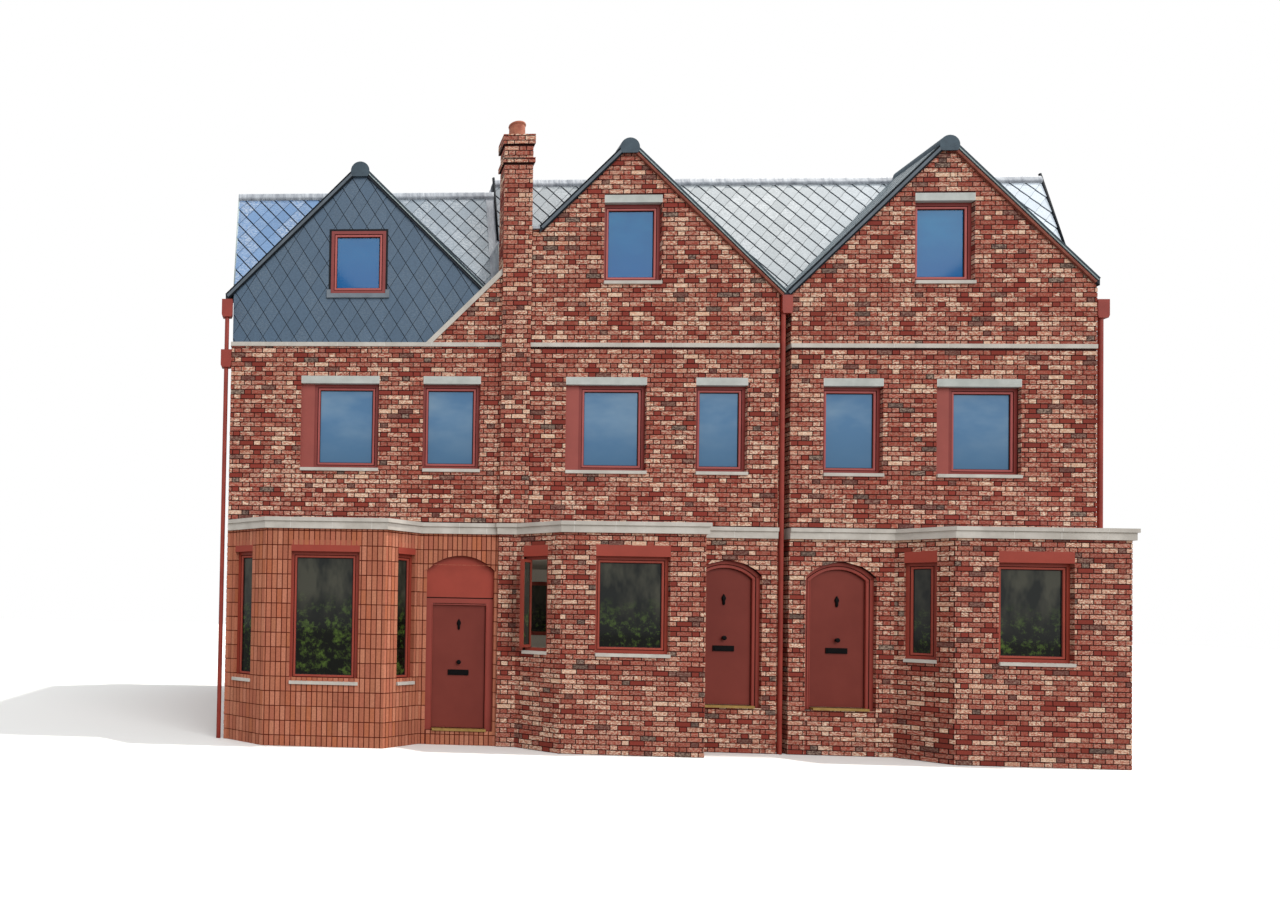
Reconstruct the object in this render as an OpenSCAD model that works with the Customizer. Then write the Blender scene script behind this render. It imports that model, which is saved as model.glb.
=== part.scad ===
// Row of three brick houses with canted bays, 45 degree front gables and a steep slate mansard.
// Lengths in millimetres. X runs along the street front, Y from the street to the back, Z up.
// The origin is on the ground, below the middle of the whole row.

/* [Row] */
// Front of the left house, from its outer edge to the chimney
left_house_w = 4305; // [4250:5:4600]
// Front of the middle house, from the chimney to the recess
middle_house_w = 3840; // [3700:5:4000]
// Front of the right house, from the recess to its outer edge
right_house_w = 4530; // [4500:10:4800]
// Depth of the houses, without the bays
row_d = 9000; // [7000:50:11000]
// Thickness of the outer walls
wall_t = 300; // [260:5:340]
// Thickness of the party wall behind the chimney
party_t = 300; // [200:5:330]
// Width of the recess between the middle and right house
slot_w = 190; // [170:5:240]
// Depth of that recess
slot_d = 190; // [150:5:250]

/* [Levels] */
// Floor of the left house above the lowest ground
left_floor_z = 225; // [210:5:300]
// Floor of the middle and right house above the lowest ground
right_floor_z = 700; // [600:5:760]
// Thickness of the ground floors
ground_slab_t = 200; // [120:5:205]
// Top of the first floor
first_floor_z = 3500; // [3450:5:3700]
// Height from the first floor to the underside of the string course
storey_rise = 2830; // [2700:5:3000]
// Height from the underside of the cornice to the first floor
cornice_drop = 160; // [140:5:200]
// Height of the wall over the piers, below the cornice
bearing_drop = 100; // [60:5:150]
// Height of the attic floor below the string course's underside
attic_floor_drop = 10; // [0:2:60]
// Thickness of the upper floors
floor_t = 230; // [180:5:240]

/* [Bays] */
// How far the bays stand out from the front
bay_d = 550; // [500:5:600]
// Thickness of the bay walls
bay_t = 250; // [220:5:270]
// Splay of the left and middle bays' sides, along the front
wide_cant_w = 600; // [560:5:620]
// Splay of the right bay's side, along the front
cant_w = 485; // [460:5:520]
// Start of the left bay, from the outer edge of its house
left_bay_x = 45; // [20:5:80]
// Wall between the left bay and its doorway
left_bay_gap = 105; // [60:5:200]
// Start of the middle bay's flat front, from the chimney
middle_bay_x = 380; // [200:5:400]
// Wall between the middle bay and its doorway
middle_bay_gap = 50; // [40:5:200]
// Wall between the right doorway and its bay
right_bay_gap = 265; // [200:5:400]
// How far the piers run behind the ends of the bays
bay_bearing = 150; // [100:5:170]

/* [Windows] */
// Width of a wide first floor window, with its side panel
wide_window_w = 1250; // [1150:10:1300]
// Width of the painted panel beside a wide window
side_panel_w = 220; // [180:5:260]
// Distance from the outer edge to the left house's wide window
left_wide_x = 1137; // [1000:1:1200]
// Distance from the left house's narrow window to the chimney
left_narrow_gap = 315; // [280:5:450]
// Width of the left house's narrow window
left_narrow_w = 905; // [800:5:950]
// Distance from the chimney to the middle house's wide window
middle_wide_x = 582; // [450:1:620]
// Distance from the middle house's narrow window to the recess
middle_narrow_gap = 462; // [400:1:560]
// Width of the middle house's narrow window
middle_narrow_w = 790; // [700:5:850]
// Distance from the recess to the right house's narrow window
right_narrow_x = 489; // [400:1:560]
// Width of the right house's narrow window
right_narrow_w = 900; // [800:5:950]
// Distance from the recess to the right house's wide window
right_wide_x = 2183; // [2000:1:2300]
// Height of the first floor sills above the floor
first_sill_h = 875; // [800:5:950]
// Height of the first floor windows
first_window_h = 1360; // [1250:10:1400]
// Width of the windows in the brick gables
gable_window_w = 895; // [800:5:950]
// How far the middle gable's window stands right of the gable's point
middle_gable_window_shift = 80; // [40:5:120]
// How far the right gable's window stands left of the gable's point
right_gable_window_shift = 30; // [0:5:60]
// Drop from the point of the middle gable to the brick gables' sills
gable_sill_drop = 2250; // [2180:10:2350]
// Height of the windows in the brick gables
gable_window_h = 1255; // [1150:5:1290]
// Width of the window in the slate gable
slate_window_w = 880; // [800:10:920]
// Drop from the point of the slate gable to its sill
slate_sill_drop = 2133; // [2050:1:2200]
// Height of the window in the slate gable
slate_window_h = 1022; // [950:1:1050]
// Drop from the cornice to the heads of the bay windows
bay_head_drop = 350; // [320:5:400]
// Height of the painted panels over the bay windows
bay_panel_h = 175; // [140:5:190]
// Height of the left bay's sills above its floor
left_bay_sill_h = 775; // [700:25:900]
// Height of the other bays' sills above their floor
right_bay_sill_h = 825; // [700:25:900]
// How far the right bay's front window stands left of the bay's middle
right_bay_shift = 90; // [0:10:150]
// Width of the left bay's front window
left_bay_window_w = 1050; // [950:10:1150]
// Width of the middle bay's front window
middle_bay_window_w = 1100; // [1000:10:1200]
// Width of the right bay's front window
right_bay_window_w = 1060; // [950:10:1150]
// Width of the windows in the bays' sides
cant_window_w = 400; // [340:10:410]
// Wall between a side window of the left bay and the front corner
left_cant_edge = 285; // [240:5:300]
// Wall between a side window of the other bays and the front corner
cant_edge = 210; // [190:5:220]
// Depth of the frames behind the wall face
frame_recess = 70; // [40:5:90]
// Depth of the window frames from front to back
frame_d = 75; // [60:5:90]
// Width of the fixed frame around a window
frame_w = 50; // [40:1:60]
// Width of the opening light's own frame
sash_w = 42; // [35:1:50]
// Thickness of the glass units
glass_t = 24; // [12:1:30]
// How far the opened side light of the middle bay is turned
open_light_angle = 88; // [60:1:90]

/* [Doors] */
// Width of the doorways
doorway_w = 1065; // [1000:5:1100]
// Drop from the cornice to the springing of the doorway arches
arch_spring_drop = 585; // [560:5:640]
// Rise of the doorway arches
arch_rise = 240; // [180:5:260]
// Wall between the left doorway and the chimney
left_door_gap = 50; // [40:5:200]
// Wall between the middle doorway and the recess
middle_door_gap = 215; // [150:5:300]
// Wall between the recess and the right doorway
right_door_gap = 245; // [150:5:300]
// Width of the door frame's jambs
door_frame_w = 94; // [90:2:110]
// Depth of the door frame from front to back
door_frame_d = 100; // [95:5:120]
// Depth of the stop in front of the leaf
door_stop_d = 30; // [30:2:45]
// Lap of the stop over the leaf
door_stop_lap = 20; // [16:1:24]
// Thickness of the leaves
leaf_t = 54; // [44:1:56]
// Running gap around a leaf
leaf_gap = 8; // [7:1:10]
// Height of the square leaf of the left house
leaf_h = 1990; // [1950:5:2020]
// Face of the threshold bar above the floor
threshold_h = 30; // [20:2:40]
// Radius of the hinge knuckles
knuckle_r = 6; // [5:0.5:6.5]
// Height of a knocker's middle above the floor
knocker_z = 1680; // [1500:10:1700]
// Height of a knob above the floor
knob_z = 1080; // [1000:10:1150]
// Height of a letter plate's lower edge above the floor
plate_z = 880; // [800:10:950]

/* [Stone] */
// Height of the lintels
lintel_h = 120; // [100:5:150]
// Height of the upper sills
sill_h = 50; // [40:5:60]
// Height of the bay sills
bay_sill_h = 50; // [40:5:70]
// Depth of lintels and sills into the wall
stone_in = 65; // [50:5:65]
// How far the sills stand out
sill_out = 35; // [20:5:50]
// Height of the cornice's lower band
cornice_low_h = 110; // [90:5:120]
// Height of the cornice's upper band
cornice_top_h = 60; // [45:5:70]
// How far the lower band stands out
cornice_low_out = 40; // [30:5:50]
// How far the upper band stands out
cornice_top_out = 62; // [52:2:70]
// Height of the string course
string_h = 65; // [50:5:75]
// How far the string course stands out
string_out = 25; // [15:5:40]
// How far the stone bands stand out inside the recess
return_out = 10; // [5:1:15]

/* [Roof] */
// Point of the middle gable above the top of the string course
gable_rise = 3235; // [3150:5:3300]
// Point of the middle gable above the flat roof
apex_over_roof = 130; // [80:5:160]
// Level run of the mansard for each unit of height
mansard_run = 0.32; // [0.28:0.01:0.36]
// Thickness of the mansard, measured level
mansard_t = 200; // [150:10:240]
// How much lower the left house's flat roof is
left_roof_drop = 250; // [150:10:300]
// Point of the slate gable above its flat roof
left_apex_rise = 115; // [70:5:150]
// Thickness of the flat roof
deck_t = 120; // [100:10:160]
// How far the slate gable stands left of the middle of its house
left_gable_shift = 132; // [90:1:170]
// Middle of the middle gable, from the chimney
middle_gable_x = 1510; // [1470:5:1560]
// Middle of the right gable, from the recess
right_gable_x = 2320; // [2280:5:2350]
// Thickness of the gable roofs, measured upright
slope_v = 106; // [85:1:125]
// Thickness of the raking coping, measured upright
coping_v = 106; // [85:1:125]
// How much lower the raking parapet runs than the middle gable's slope
rake_drop = 95; // [60:5:130]
// Overhang of the brick gables' roofs at the front
verge_out = 40; // [30:5:60]
// Depth of the slate gable behind the brick front
slate_gable_set = 140; // [130:5:160]
// Overhang of the left gable's roof past the end wall
left_eaves_out = 130; // [100:5:170]
// Overhang of the right gable's roof past the end wall
right_eaves_out = 10; // [0:5:40]
// How far the mansard and its lead pass the end walls
mansard_out = 20; // [10:5:30]
// Height of the lead on the mansard's top edge
flash_h = 110; // [80:5:140]
// Thickness of that lead roll
flash_t = 18; // [12:1:24]
// Thickness of the lead strip beside the raised roof
strip_t = 12; // [8:1:16]
// Width of that strip
edge_strip_w = 150; // [100:10:200]
// Thickness of the lead step behind the chimney
lead_t = 40; // [30:2:50]
// Radius of the half round ridge
ridge_r = 150; // [140:5:160]
// Middle of the ridge roll below the point of the gable
ridge_drop = 135; // [120:1:138]
// How far the ridge stands out in front of the slopes
ridge_out = 15; // [5:1:30]
// Width of the lead step between chimney and gable
saddle_w = 130; // [110:5:150]

/* [Chimney] */
// Width of the chimney
chimney_w = 435; // [400:5:520]
// Depth of the chimney
chimney_d = 300; // [290:5:340]
// How far the chimney stands out from the front
chimney_out = 55; // [45:1:65]
// Top of the chimney brickwork above the middle gable
chimney_rise = 70; // [40:10:200]
// Height of a brick course
course = 75; // [65:1:80]
// How far each corbelled band steps out
corbel_out = 28; // [15:1:35]
// Height of the pot above the brickwork
pot_h = 245; // [150:5:300]
// Outer radius of the pot
pot_r = 130; // [100:5:135]

/* [Rainwater] */
// Diameter of the downpipes
pipe_d = 70; // [60:2:80]
// Width of a hopper
hopper_w = 170; // [150:5:190]
// Height of a hopper
hopper_h = 285; // [260:5:340]
// Depth of a hopper
hopper_d = 120; // [100:5:130]
// Gap between the hoppers and the end walls
hopper_gap = 5; // [3:1:20]
// Middle of the pipe in the recess, behind the front
slot_pipe_y = 10; // [0:1:40]
// Top of the hopper in the recess, below the valley
slot_hopper_drop = 58; // [50:1:70]
// How far the pipe in the recess stands left of its hopper's middle
slot_pipe_shift = 35; // [0:5:40]
// Upper left hopper's top below the foot of the slate gable's roof
left_hopper_drop = 120; // [90:5:150]
// Drop from the upper to the lower hopper on the left
lower_hopper_drop = 820; // [700:10:900]
// Drop from the foot of the right gable's roof to its hopper
right_hopper_drop = 310; // [280:5:340]

/* [Hidden] */
$fn = 48;

brick = [0.59, 0.30, 0.24];
terracotta = [0.74, 0.39, 0.29];
stone = [0.80, 0.78, 0.74];
slate = [0.36, 0.42, 0.46];
pale_slate = [0.66, 0.69, 0.72];
lead = [0.62, 0.65, 0.69];
oxide_red = [0.59, 0.26, 0.22];
door_red = [0.48, 0.20, 0.17];
concrete = [0.70, 0.69, 0.67];
glass_blue = [0.35, 0.48, 0.60, 0.6];
ironmongery = [0.10, 0.10, 0.11];

// Vertical lines of the row
chimney_x0 = left_house_w;
chimney_x1 = chimney_x0 + chimney_w;
slot_x0 = chimney_x1 + middle_house_w;
slot_x1 = slot_x0 + slot_w;
row_w = slot_x1 + right_house_w;
slot_mid = (slot_x0 + slot_x1) / 2;
house_x0 = [0, chimney_x1, slot_x1];
house_x1 = [chimney_x0, slot_x0, row_w];
party_x0 = chimney_x0 + 45;
party_x1 = party_x0 + party_t;
floor_z = [left_floor_z, right_floor_z, right_floor_z];
origin_x = row_w / 2;
origin_y = (row_d + sill_out - bay_d - cornice_top_out) / 2;
past = 10;

// Levels
cornice_z = first_floor_z - cornice_drop;
bearing_z = cornice_z - bearing_drop;
string_z = first_floor_z + storey_rise;
string_top = string_z + string_h;
attic_floor_z = string_z - attic_floor_drop;
eaves_z = string_top + 5;
right_apex_z = string_top + gable_rise;
roof_top = right_apex_z - apex_over_roof;
roof_z = [roof_top - left_roof_drop, roof_top, roof_top];
left_apex_z = roof_z[0] + left_apex_rise;
chimney_top_z = right_apex_z + chimney_rise;
sky_z = chimney_top_z + pot_h;
bay_head_z = cornice_z - bay_head_drop;
arch_spring_z = cornice_z - arch_spring_drop;
first_sill_z = first_floor_z + first_sill_h;
gable_sill_z = right_apex_z - gable_sill_drop;
slate_sill_z = left_apex_z - slate_sill_drop;

// Roof lines
gable_x = [chimney_x0 / 2 - left_gable_shift, chimney_x1 + middle_gable_x,
    slot_x1 + right_gable_x];
valley_z = right_apex_z - (slot_mid - gable_x[1]);
apex_z = [left_apex_z, right_apex_z, valley_z + gable_x[2] - slot_mid];
gable_window_x = [gable_x[0], gable_x[1] + middle_gable_window_shift,
    gable_x[2] - right_gable_window_shift];
saddle_x1 = chimney_x1 + saddle_w;
saddle_z = right_apex_z - (gable_x[1] - saddle_x1);
slope_x0 = [-left_eaves_out, saddle_x1, slot_mid];
slope_x1 = [chimney_x0, slot_mid, row_w + right_eaves_out];
slope_y0 = [slate_gable_set - 35, -verge_out, -verge_out];
pipe_y = slope_y0[0] - 5 - hopper_d / 2;
slot_pipe_x = slot_mid + 8;
slot_hopper_w = slot_w - 34;
slot_hopper_z = valley_z - slot_hopper_drop - hopper_h;
lip_share = 0.14;

// Doorways
door_x0 = [chimney_x0 - left_door_gap - doorway_w, slot_x0 - middle_door_gap - doorway_w,
    slot_x1 + right_door_gap];
arch_r = (pow(doorway_w / 2, 2) + pow(arch_rise, 2)) / (2 * arch_rise);
arch_z = arch_spring_z + arch_rise - arch_r;
leaf_x_in = door_frame_w + leaf_gap;
leaf_w = doorway_w - 2 * leaf_x_in;
leaf_y0 = frame_recess + door_stop_d + 6;
hinge_y = leaf_y0 + leaf_t + knuckle_r - 1;
leaf_foot = threshold_h + leaf_gap;
head_z = floor_z[0] + leaf_foot + leaf_h + leaf_gap;
head_w = 65;

// Bays: the four corners of each outer face, from left to right
bay_start = [left_bay_x + wide_cant_w, chimney_x1 + middle_bay_x,
    door_x0[2] + doorway_w + right_bay_gap + cant_w];
bay_end = [door_x0[0] - left_bay_gap - wide_cant_w, door_x0[1] - middle_bay_gap, row_w];
bay_corners = [
    [[left_bay_x, 0], [bay_start[0], -bay_d], [bay_end[0], -bay_d],
        [bay_end[0] + wide_cant_w, 0]],
    [[bay_start[1] - wide_cant_w, 0], [bay_start[1], -bay_d], [bay_end[1], -bay_d],
        [bay_end[1], 0]],
    [[bay_start[2] - cant_w, 0], [bay_start[2], -bay_d], [row_w, -bay_d], [row_w, 0]]];
bay_inner = [for (c = bay_corners) inner_corners(c)];
// Ends of the piers behind each bay
bay_room_x0 = [bay_corners[0][0][0] + bay_bearing, chimney_x1,
    bay_corners[2][0][0] + bay_bearing];
bay_room_x1 = [for (c = bay_corners) c[3][0] - bay_bearing];
bay_sill_z = [left_floor_z + left_bay_sill_h, right_floor_z + right_bay_sill_h,
    right_floor_z + right_bay_sill_h];
bay_window_w = [left_bay_window_w, middle_bay_window_w, right_bay_window_w];
bay_window_x = [for (i = [0:2]) (bay_start[i] + bay_end[i]) / 2
    - (i == 2 ? right_bay_shift : 0)];
bay_side_w = cant_window_w;
bay_side_edge = [left_cant_edge, cant_edge, cant_edge];

// Upper windows: house, left edge, width, panel width
first_windows = [[0, left_wide_x, wide_window_w, side_panel_w],
    [0, chimney_x0 - left_narrow_gap - left_narrow_w, left_narrow_w, 0],
    [1, chimney_x1 + middle_wide_x, wide_window_w, side_panel_w],
    [1, slot_x0 - middle_narrow_gap - middle_narrow_w, middle_narrow_w, 0],
    [2, slot_x1 + right_narrow_x, right_narrow_w, 0],
    [2, slot_x1 + right_wide_x, wide_window_w, side_panel_w]];
// Rear windows: left edge, width, sill, height
rear_window_w = 1100;
rear_ground_h = 1400;
rear_sill_h = 850;
rear_windows = [for (i = [0:2], k = [0:1], f = [0:1])
    let (w = house_x1[i] - house_x0[i],
        x = house_x0[i] + w * (0.27 + 0.46 * k) - rear_window_w / 2)
    f == 0 ? [x, rear_window_w, right_floor_z + rear_sill_h, rear_ground_h]
        : [x, rear_window_w, first_sill_z, first_window_h]];

// Corner points of a bay's inner face, a wall thickness in from the outer one
function inner_corners(c) =
    let (n = [for (k = [0:2]) let (d = c[k + 1] - c[k]) [-d[1], d[0]] / norm(d)])
    [for (p = [level_point(c[0], c[1], n[0]), mitre(c[1], n[0], n[1]),
        mitre(c[2], n[1], n[2]), level_point(c[3], c[2], n[2])]) [round(p[0]), round(p[1])]];
function mitre(p, a, b) = p + (a + b) * bay_t / (1 + a * b);
function level_point(p, q, n) =
    let (d = q - p, s = p + n * bay_t) [s[0] - s[1] * d[0] / d[1], 0];

module box(x0, x1, y0, y1, z0, z1) {
    translate([x0, y0, z0]) cube([x1 - x0, y1 - y0, z1 - z0]);
}

// A plate standing across the row, drawn as [y, z] points
module cross_plate(x0, x1, points) {
    translate([x0, 0, 0]) rotate([90, 0, 90]) linear_extrude(x1 - x0) polygon(points);
}

// A plate standing along the row, drawn as [x, z] points
module long_plate(y0, y1, points) {
    translate([0, y1, 0]) rotate([90, 0, 0]) linear_extrude(y1 - y0) polygon(points);
}

// A level slab, drawn as [x, y] points
module slab(z0, z1, points) {
    translate([0, 0, z0]) linear_extrude(z1 - z0) polygon(points);
}

// Moves the children to a bay wall: X along its face, Y into the wall
module on_bay_face(c, k) {
    d = c[k + 1] - c[k];
    translate([c[k][0], c[k][1], 0]) rotate([0, 0, atan2(d[1], d[0])]) children();
}

// Turns the row round for the back wall
module on_rear() {
    translate([0, row_d, 0]) mirror([0, 1, 0]) children();
}

// The opening of one window, with the pockets of its lintel and sill
module window_cut(x, w, z, h, lintel, sill) {
    box(x, x + w, -past, wall_t + past, z, z + h);
    box(x, x + w, -past, stone_in, z + h - 1, z + h + lintel);
    box(x, x + w, -past, stone_in, z - sill, z + 1);
}

// A fixed frame with the opening light's frame set inside it
module window_frame(x, w, z, h) {
    y0 = frame_recess;
    difference() {
        union() {
            box(x, x + w, y0, y0 + frame_d, z, z + h);
        }
        box(x + frame_w, x + w - frame_w, y0 - past, y0 + 14, z + frame_w, z + h - frame_w);
        glazed(x, w, z, h) box(0, $gw, y0 - past, y0 + frame_d + past, 0, $gh);
    }
}

// Puts the children at the glass of a window and gives its size
module glazed(x, w, z, h) {
    edge = frame_w + sash_w;
    $gw = w - 2 * edge;
    $gh = h - 2 * edge;
    translate([x + edge, 0, z + edge]) children();
}

module pane(x, w, z, h) {
    y0 = frame_recess + 34;
    glazed(x, w, z, h) box(0, $gw, y0, y0 + glass_t, 0, $gh);
}

// Width of the fixed part beside a wide window stays with the panel
module first_floor_windows(i) {
    for (v = first_windows) if (v[0] == i) {
        $x = v[1];
        $w = v[2];
        $panel = v[3];
        children();
    }
}

module bay_windows(i) {
    c = bay_corners[i];
    h = bay_head_z - bay_sill_z[i];
    on_bay_face(c, 1) {
        $x = bay_window_x[i] - c[1][0] - bay_window_w[i] / 2;
        $w = bay_window_w[i];
        $h = h;
        children();
    }
    bay_side_windows(i, 0) children();
    if (i == 0) bay_side_windows(i, 2) children();
}

module bay_side_windows(i, k) {
    c = bay_corners[i];
    edge = bay_side_edge[i];
    on_bay_face(c, k) {
        $x = k == 0 ? norm(c[1] - c[0]) - edge - bay_side_w : edge;
        $w = bay_side_w;
        $h = bay_head_z - bay_sill_z[i];
        children();
    }
}

// One side of a bay, k counted from the left
module bay_wall(i, k) {
    c = bay_corners[i];
    q = bay_inner[i];
    slab(0, cornice_z, [c[k], c[k + 1], q[k + 1], q[k]]);
}

module bay_window_cuts(i) {
    bay_windows(i) {
        box($x, $x + $w, -past, bay_t + past, bay_sill_z[i], bay_head_z);
        box($x, $x + $w, -past, stone_in, bay_head_z - 1, bay_head_z + bay_panel_h);
        box($x, $x + $w, -past, stone_in, bay_sill_z[i] - bay_sill_h, bay_sill_z[i] + 1);
    }
}

module chimney_body() {
    box(chimney_x0, chimney_x1, -chimney_out, chimney_d - chimney_out, 0, chimney_top_z);
}

module bay_left_walls() {
    for (i = [0:2]) color(i == 0 ? terracotta : brick) difference() {
        bay_wall(i, 0);
        bay_window_cuts(i);
        chimney_body();
    }
}

module bay_front_walls() {
    for (i = [0:2]) color(i == 0 ? terracotta : brick) difference() {
        bay_wall(i, 1);
        bay_window_cuts(i);
    }
}

module bay_right_walls() {
    for (i = [0:2]) color(i == 0 ? terracotta : brick) difference() {
        bay_wall(i, 2);
        bay_window_cuts(i);
    }
}

// Solid brickwork between bays, doorways and party walls, up to the upper walls
module ground_piers() {
    spans = [[0, bay_room_x0[0]], [bay_room_x1[0], door_x0[0]],
        [door_x0[0] + doorway_w, chimney_x0], [bay_room_x1[1], door_x0[1]],
        [door_x0[1] + doorway_w, slot_x0], [slot_x1, door_x0[2]],
        [door_x0[2] + doorway_w, bay_room_x0[2]], [bay_room_x1[2], row_w]];
    for (k = [0:7]) color(k < 3 ? terracotta : brick)
        box(spans[k][0], spans[k][1], 0, wall_t, 0, bearing_z);
}

// The outline of a doorway, grown outwards by grow
module doorway_shape(i, grow, z0) {
    r = arch_r + grow;
    x = door_x0[i] + doorway_w / 2;
    intersection() {
        union() {
            translate([x, arch_z]) circle(r, $fn = 96);
            translate([x - r, -past]) square([2 * r, arch_z + past]);
        }
        translate([x - doorway_w / 2 - grow, z0])
            square([doorway_w + 2 * grow, arch_z + r - z0]);
    }
}

module doorway_solid(i, grow, z0, y0, y1) {
    translate([0, y1, 0]) rotate([90, 0, 0]) linear_extrude(y1 - y0)
        doorway_shape(i, grow, z0);
}

module door_arches() {
    for (i = [0:2]) color(i == 0 ? terracotta : brick) difference() {
        box(door_x0[i], door_x0[i] + doorway_w, 0, wall_t, arch_spring_z, bearing_z);
        doorway_solid(i, 0, 0, -past, wall_t + past);
    }
}

module first_window_cuts(i) {
    first_floor_windows(i)
        window_cut($x, $w, first_sill_z, first_window_h, lintel_h, sill_h);
}

module upper_wall_left() {
    color(brick) difference() {
        box(0, chimney_x0, 0, wall_t, bearing_z, string_z);
        first_window_cuts(0);
    }
}

module brick_gable(i, points) {
    color(brick) difference() {
        long_plate(0, wall_t, points);
        first_window_cuts(i);
        window_cut(gable_window_x[i] - gable_window_w / 2, gable_window_w, gable_sill_z,
            gable_window_h, lintel_h, sill_h);
    }
}

module upper_wall_middle() {
    top = apex_z[1] - slope_v;
    brick_gable(1, [[chimney_x1, bearing_z], [slot_x0, bearing_z],
        [slot_x0, top - (slot_x0 - gable_x[1])], [gable_x[1], top],
        [saddle_x1, top - (gable_x[1] - saddle_x1)], [saddle_x1, saddle_z - lead_t],
        [chimney_x1, saddle_z - lead_t]]);
}

module upper_wall_right() {
    top = apex_z[2] - slope_v;
    brick_gable(2, [[slot_x1, bearing_z], [row_w, bearing_z],
        [row_w, top - (row_w - gable_x[2])], [gable_x[2], top],
        [slot_x1, top - (gable_x[2] - slot_x1)]]);
}

module slate_gable_wall() {
    top = apex_z[0] - slope_v;
    color(slate) difference() {
        long_plate(slate_gable_set, wall_t, [[0, string_top],
            [chimney_x0, string_top], [chimney_x0, top - (chimney_x0 - gable_x[0])],
            [gable_x[0], top], [0, top - gable_x[0]]]);
        box(gable_x[0] - slate_window_w / 2, gable_x[0] + slate_window_w / 2, 0,
            wall_t + past, slate_sill_z, slate_sill_z + slate_window_h);
    }
}

// The brick triangle that carries the middle gable's slope on to the left of the chimney
rake_z = right_apex_z - slope_v - (gable_x[1] - chimney_x0) - rake_drop;
rake_x = chimney_x0 - (rake_z - string_top);
rake_t = slate_gable_set - 40;

module raking_parapet() {
    color(brick) long_plate(0, rake_t, [[rake_x, string_top],
        [chimney_x0, string_top], [chimney_x0, rake_z]]);
}

// Level distance from the front to the mansard's inner face at height z
function inner_y(z) = mansard_t + outer_y(z);
function outer_y(z) = (z - eaves_z) * mansard_run;

// Outline of a cross wall under the roof, from its front face at y0 up to z0 there
function cross_outline(y0, z0, top) = [[y0, 0], [y0, z0], [inner_y(z0), z0],
    [inner_y(top), top], [row_d - inner_y(top), top], [row_d - inner_y(eaves_z), eaves_z],
    [row_d - wall_t, eaves_z], [row_d - wall_t, 0]];

module end_walls() {
    color(brick) {
        cross_plate(0, wall_t, cross_outline(wall_t,
            apex_z[0] - slope_v - gable_x[0], roof_z[0] - deck_t));
        cross_plate(row_w - wall_t, row_w, cross_outline(wall_t,
            apex_z[2] - slope_v - (row_w - gable_x[2]), roof_z[2] - deck_t));
    }
}

module party_walls() {
    color(brick) {
        cross_plate(party_x0, party_x1,
            cross_outline(chimney_d - chimney_out, saddle_z - lead_t, roof_z[1] - deck_t));
        cross_plate(slot_x0, slot_x1, cross_outline(slot_d,
            apex_z[2] - slope_v - (gable_x[2] - slot_mid), roof_z[2] - deck_t));
    }
}

module rear_wall() {
    color(brick) on_rear() difference() {
        box(0, row_w, 0, wall_t, 0, eaves_z);
        for (v = rear_windows) window_cut(v[0], v[1], v[2], v[3], lintel_h, sill_h);
    }
}

// Inside length of each house along the row
inside_x0 = [wall_t, party_x1, slot_x1];
inside_x1 = [party_x0, slot_x0, row_w - wall_t];

module floor_slabs(z_tops, t) {
    color(concrete) for (i = [0:2])
        box(inside_x0[i], inside_x1[i], wall_t, row_d - wall_t, z_tops[i] - t, z_tops[i]);
}

module ground_floors() {
    floor_slabs(floor_z, ground_slab_t);
}

module first_floors() {
    floor_slabs([first_floor_z, first_floor_z, first_floor_z], floor_t);
}

module attic_floors() {
    floor_slabs([attic_floor_z, attic_floor_z, attic_floor_z], floor_t);
}

// Floor inside each bay and the lead roof over it
module bay_slabs() {
    for (i = [0:2]) {
        q = bay_inner[i];
        color(concrete) slab(floor_z[i] - ground_slab_t, floor_z[i],
            [[bay_room_x0[i], wall_t], [bay_room_x0[i], 0], q[0], q[1], q[2], q[3],
                [bay_room_x1[i], 0], [bay_room_x1[i], wall_t]]);
        c = bay_corners[i];
        color(lead) difference() {
            slab(cornice_z, cornice_z + cornice_low_h + cornice_top_h - 15,
                [c[0], c[1], c[2], c[3]]);
            chimney_body();
        }
    }
}

// The front slope of the mansard between two heights and two cross lines
module mansard_piece(x0, x1, z0, z1, t) {
    cross_plate(x0, x1, [[outer_y(z0), z0], [outer_y(z1), z1],
        [outer_y(z1) + t, z1], [outer_y(z0) + t, z0]]);
}

module gable_outline(i) {
    reach = apex_z[i];
    long_plate(-bay_d, row_d / 2, [[gable_x[i] - reach, apex_z[i] - reach],
        [gable_x[i], apex_z[i]], [gable_x[i] + reach, apex_z[i] - reach]]);
}

module mansard_front() {
    color(pale_slate) {
        difference() {
            mansard_piece(-mansard_out, party_x0, eaves_z, roof_z[0], mansard_t);
            gable_outline(0);
            chimney_body();
        }
        difference() {
            mansard_piece(party_x0, gable_x[1], saddle_z, roof_z[1], mansard_t);
            gable_outline(1);
        }
        difference() {
            mansard_piece(gable_x[1], gable_x[2], eaves_z, roof_z[1], mansard_t);
            gable_outline(1);
            gable_outline(2);
        }
        difference() {
            mansard_piece(gable_x[2], row_w + mansard_out, eaves_z, roof_z[2], mansard_t);
            gable_outline(2);
        }
    }
}

module mansard_rear() {
    color(pale_slate) on_rear() {
        mansard_piece(-mansard_out, party_x0, eaves_z, roof_z[0], mansard_t);
        mansard_piece(party_x0, row_w + mansard_out, eaves_z, roof_z[1], mansard_t);
    }
}

module deck_piece(x0, x1, top) {
    y = inner_y(top);
    cross_plate(x0, x1, [[inner_y(top - deck_t), top - deck_t], [y, top], [row_d - y, top],
        [row_d - inner_y(top - deck_t), top - deck_t]]);
}

module roof_deck() {
    color(lead) {
        deck_piece(0, party_x0, roof_z[0]);
        deck_piece(party_x0, row_w, roof_z[1]);
    }
}

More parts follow.
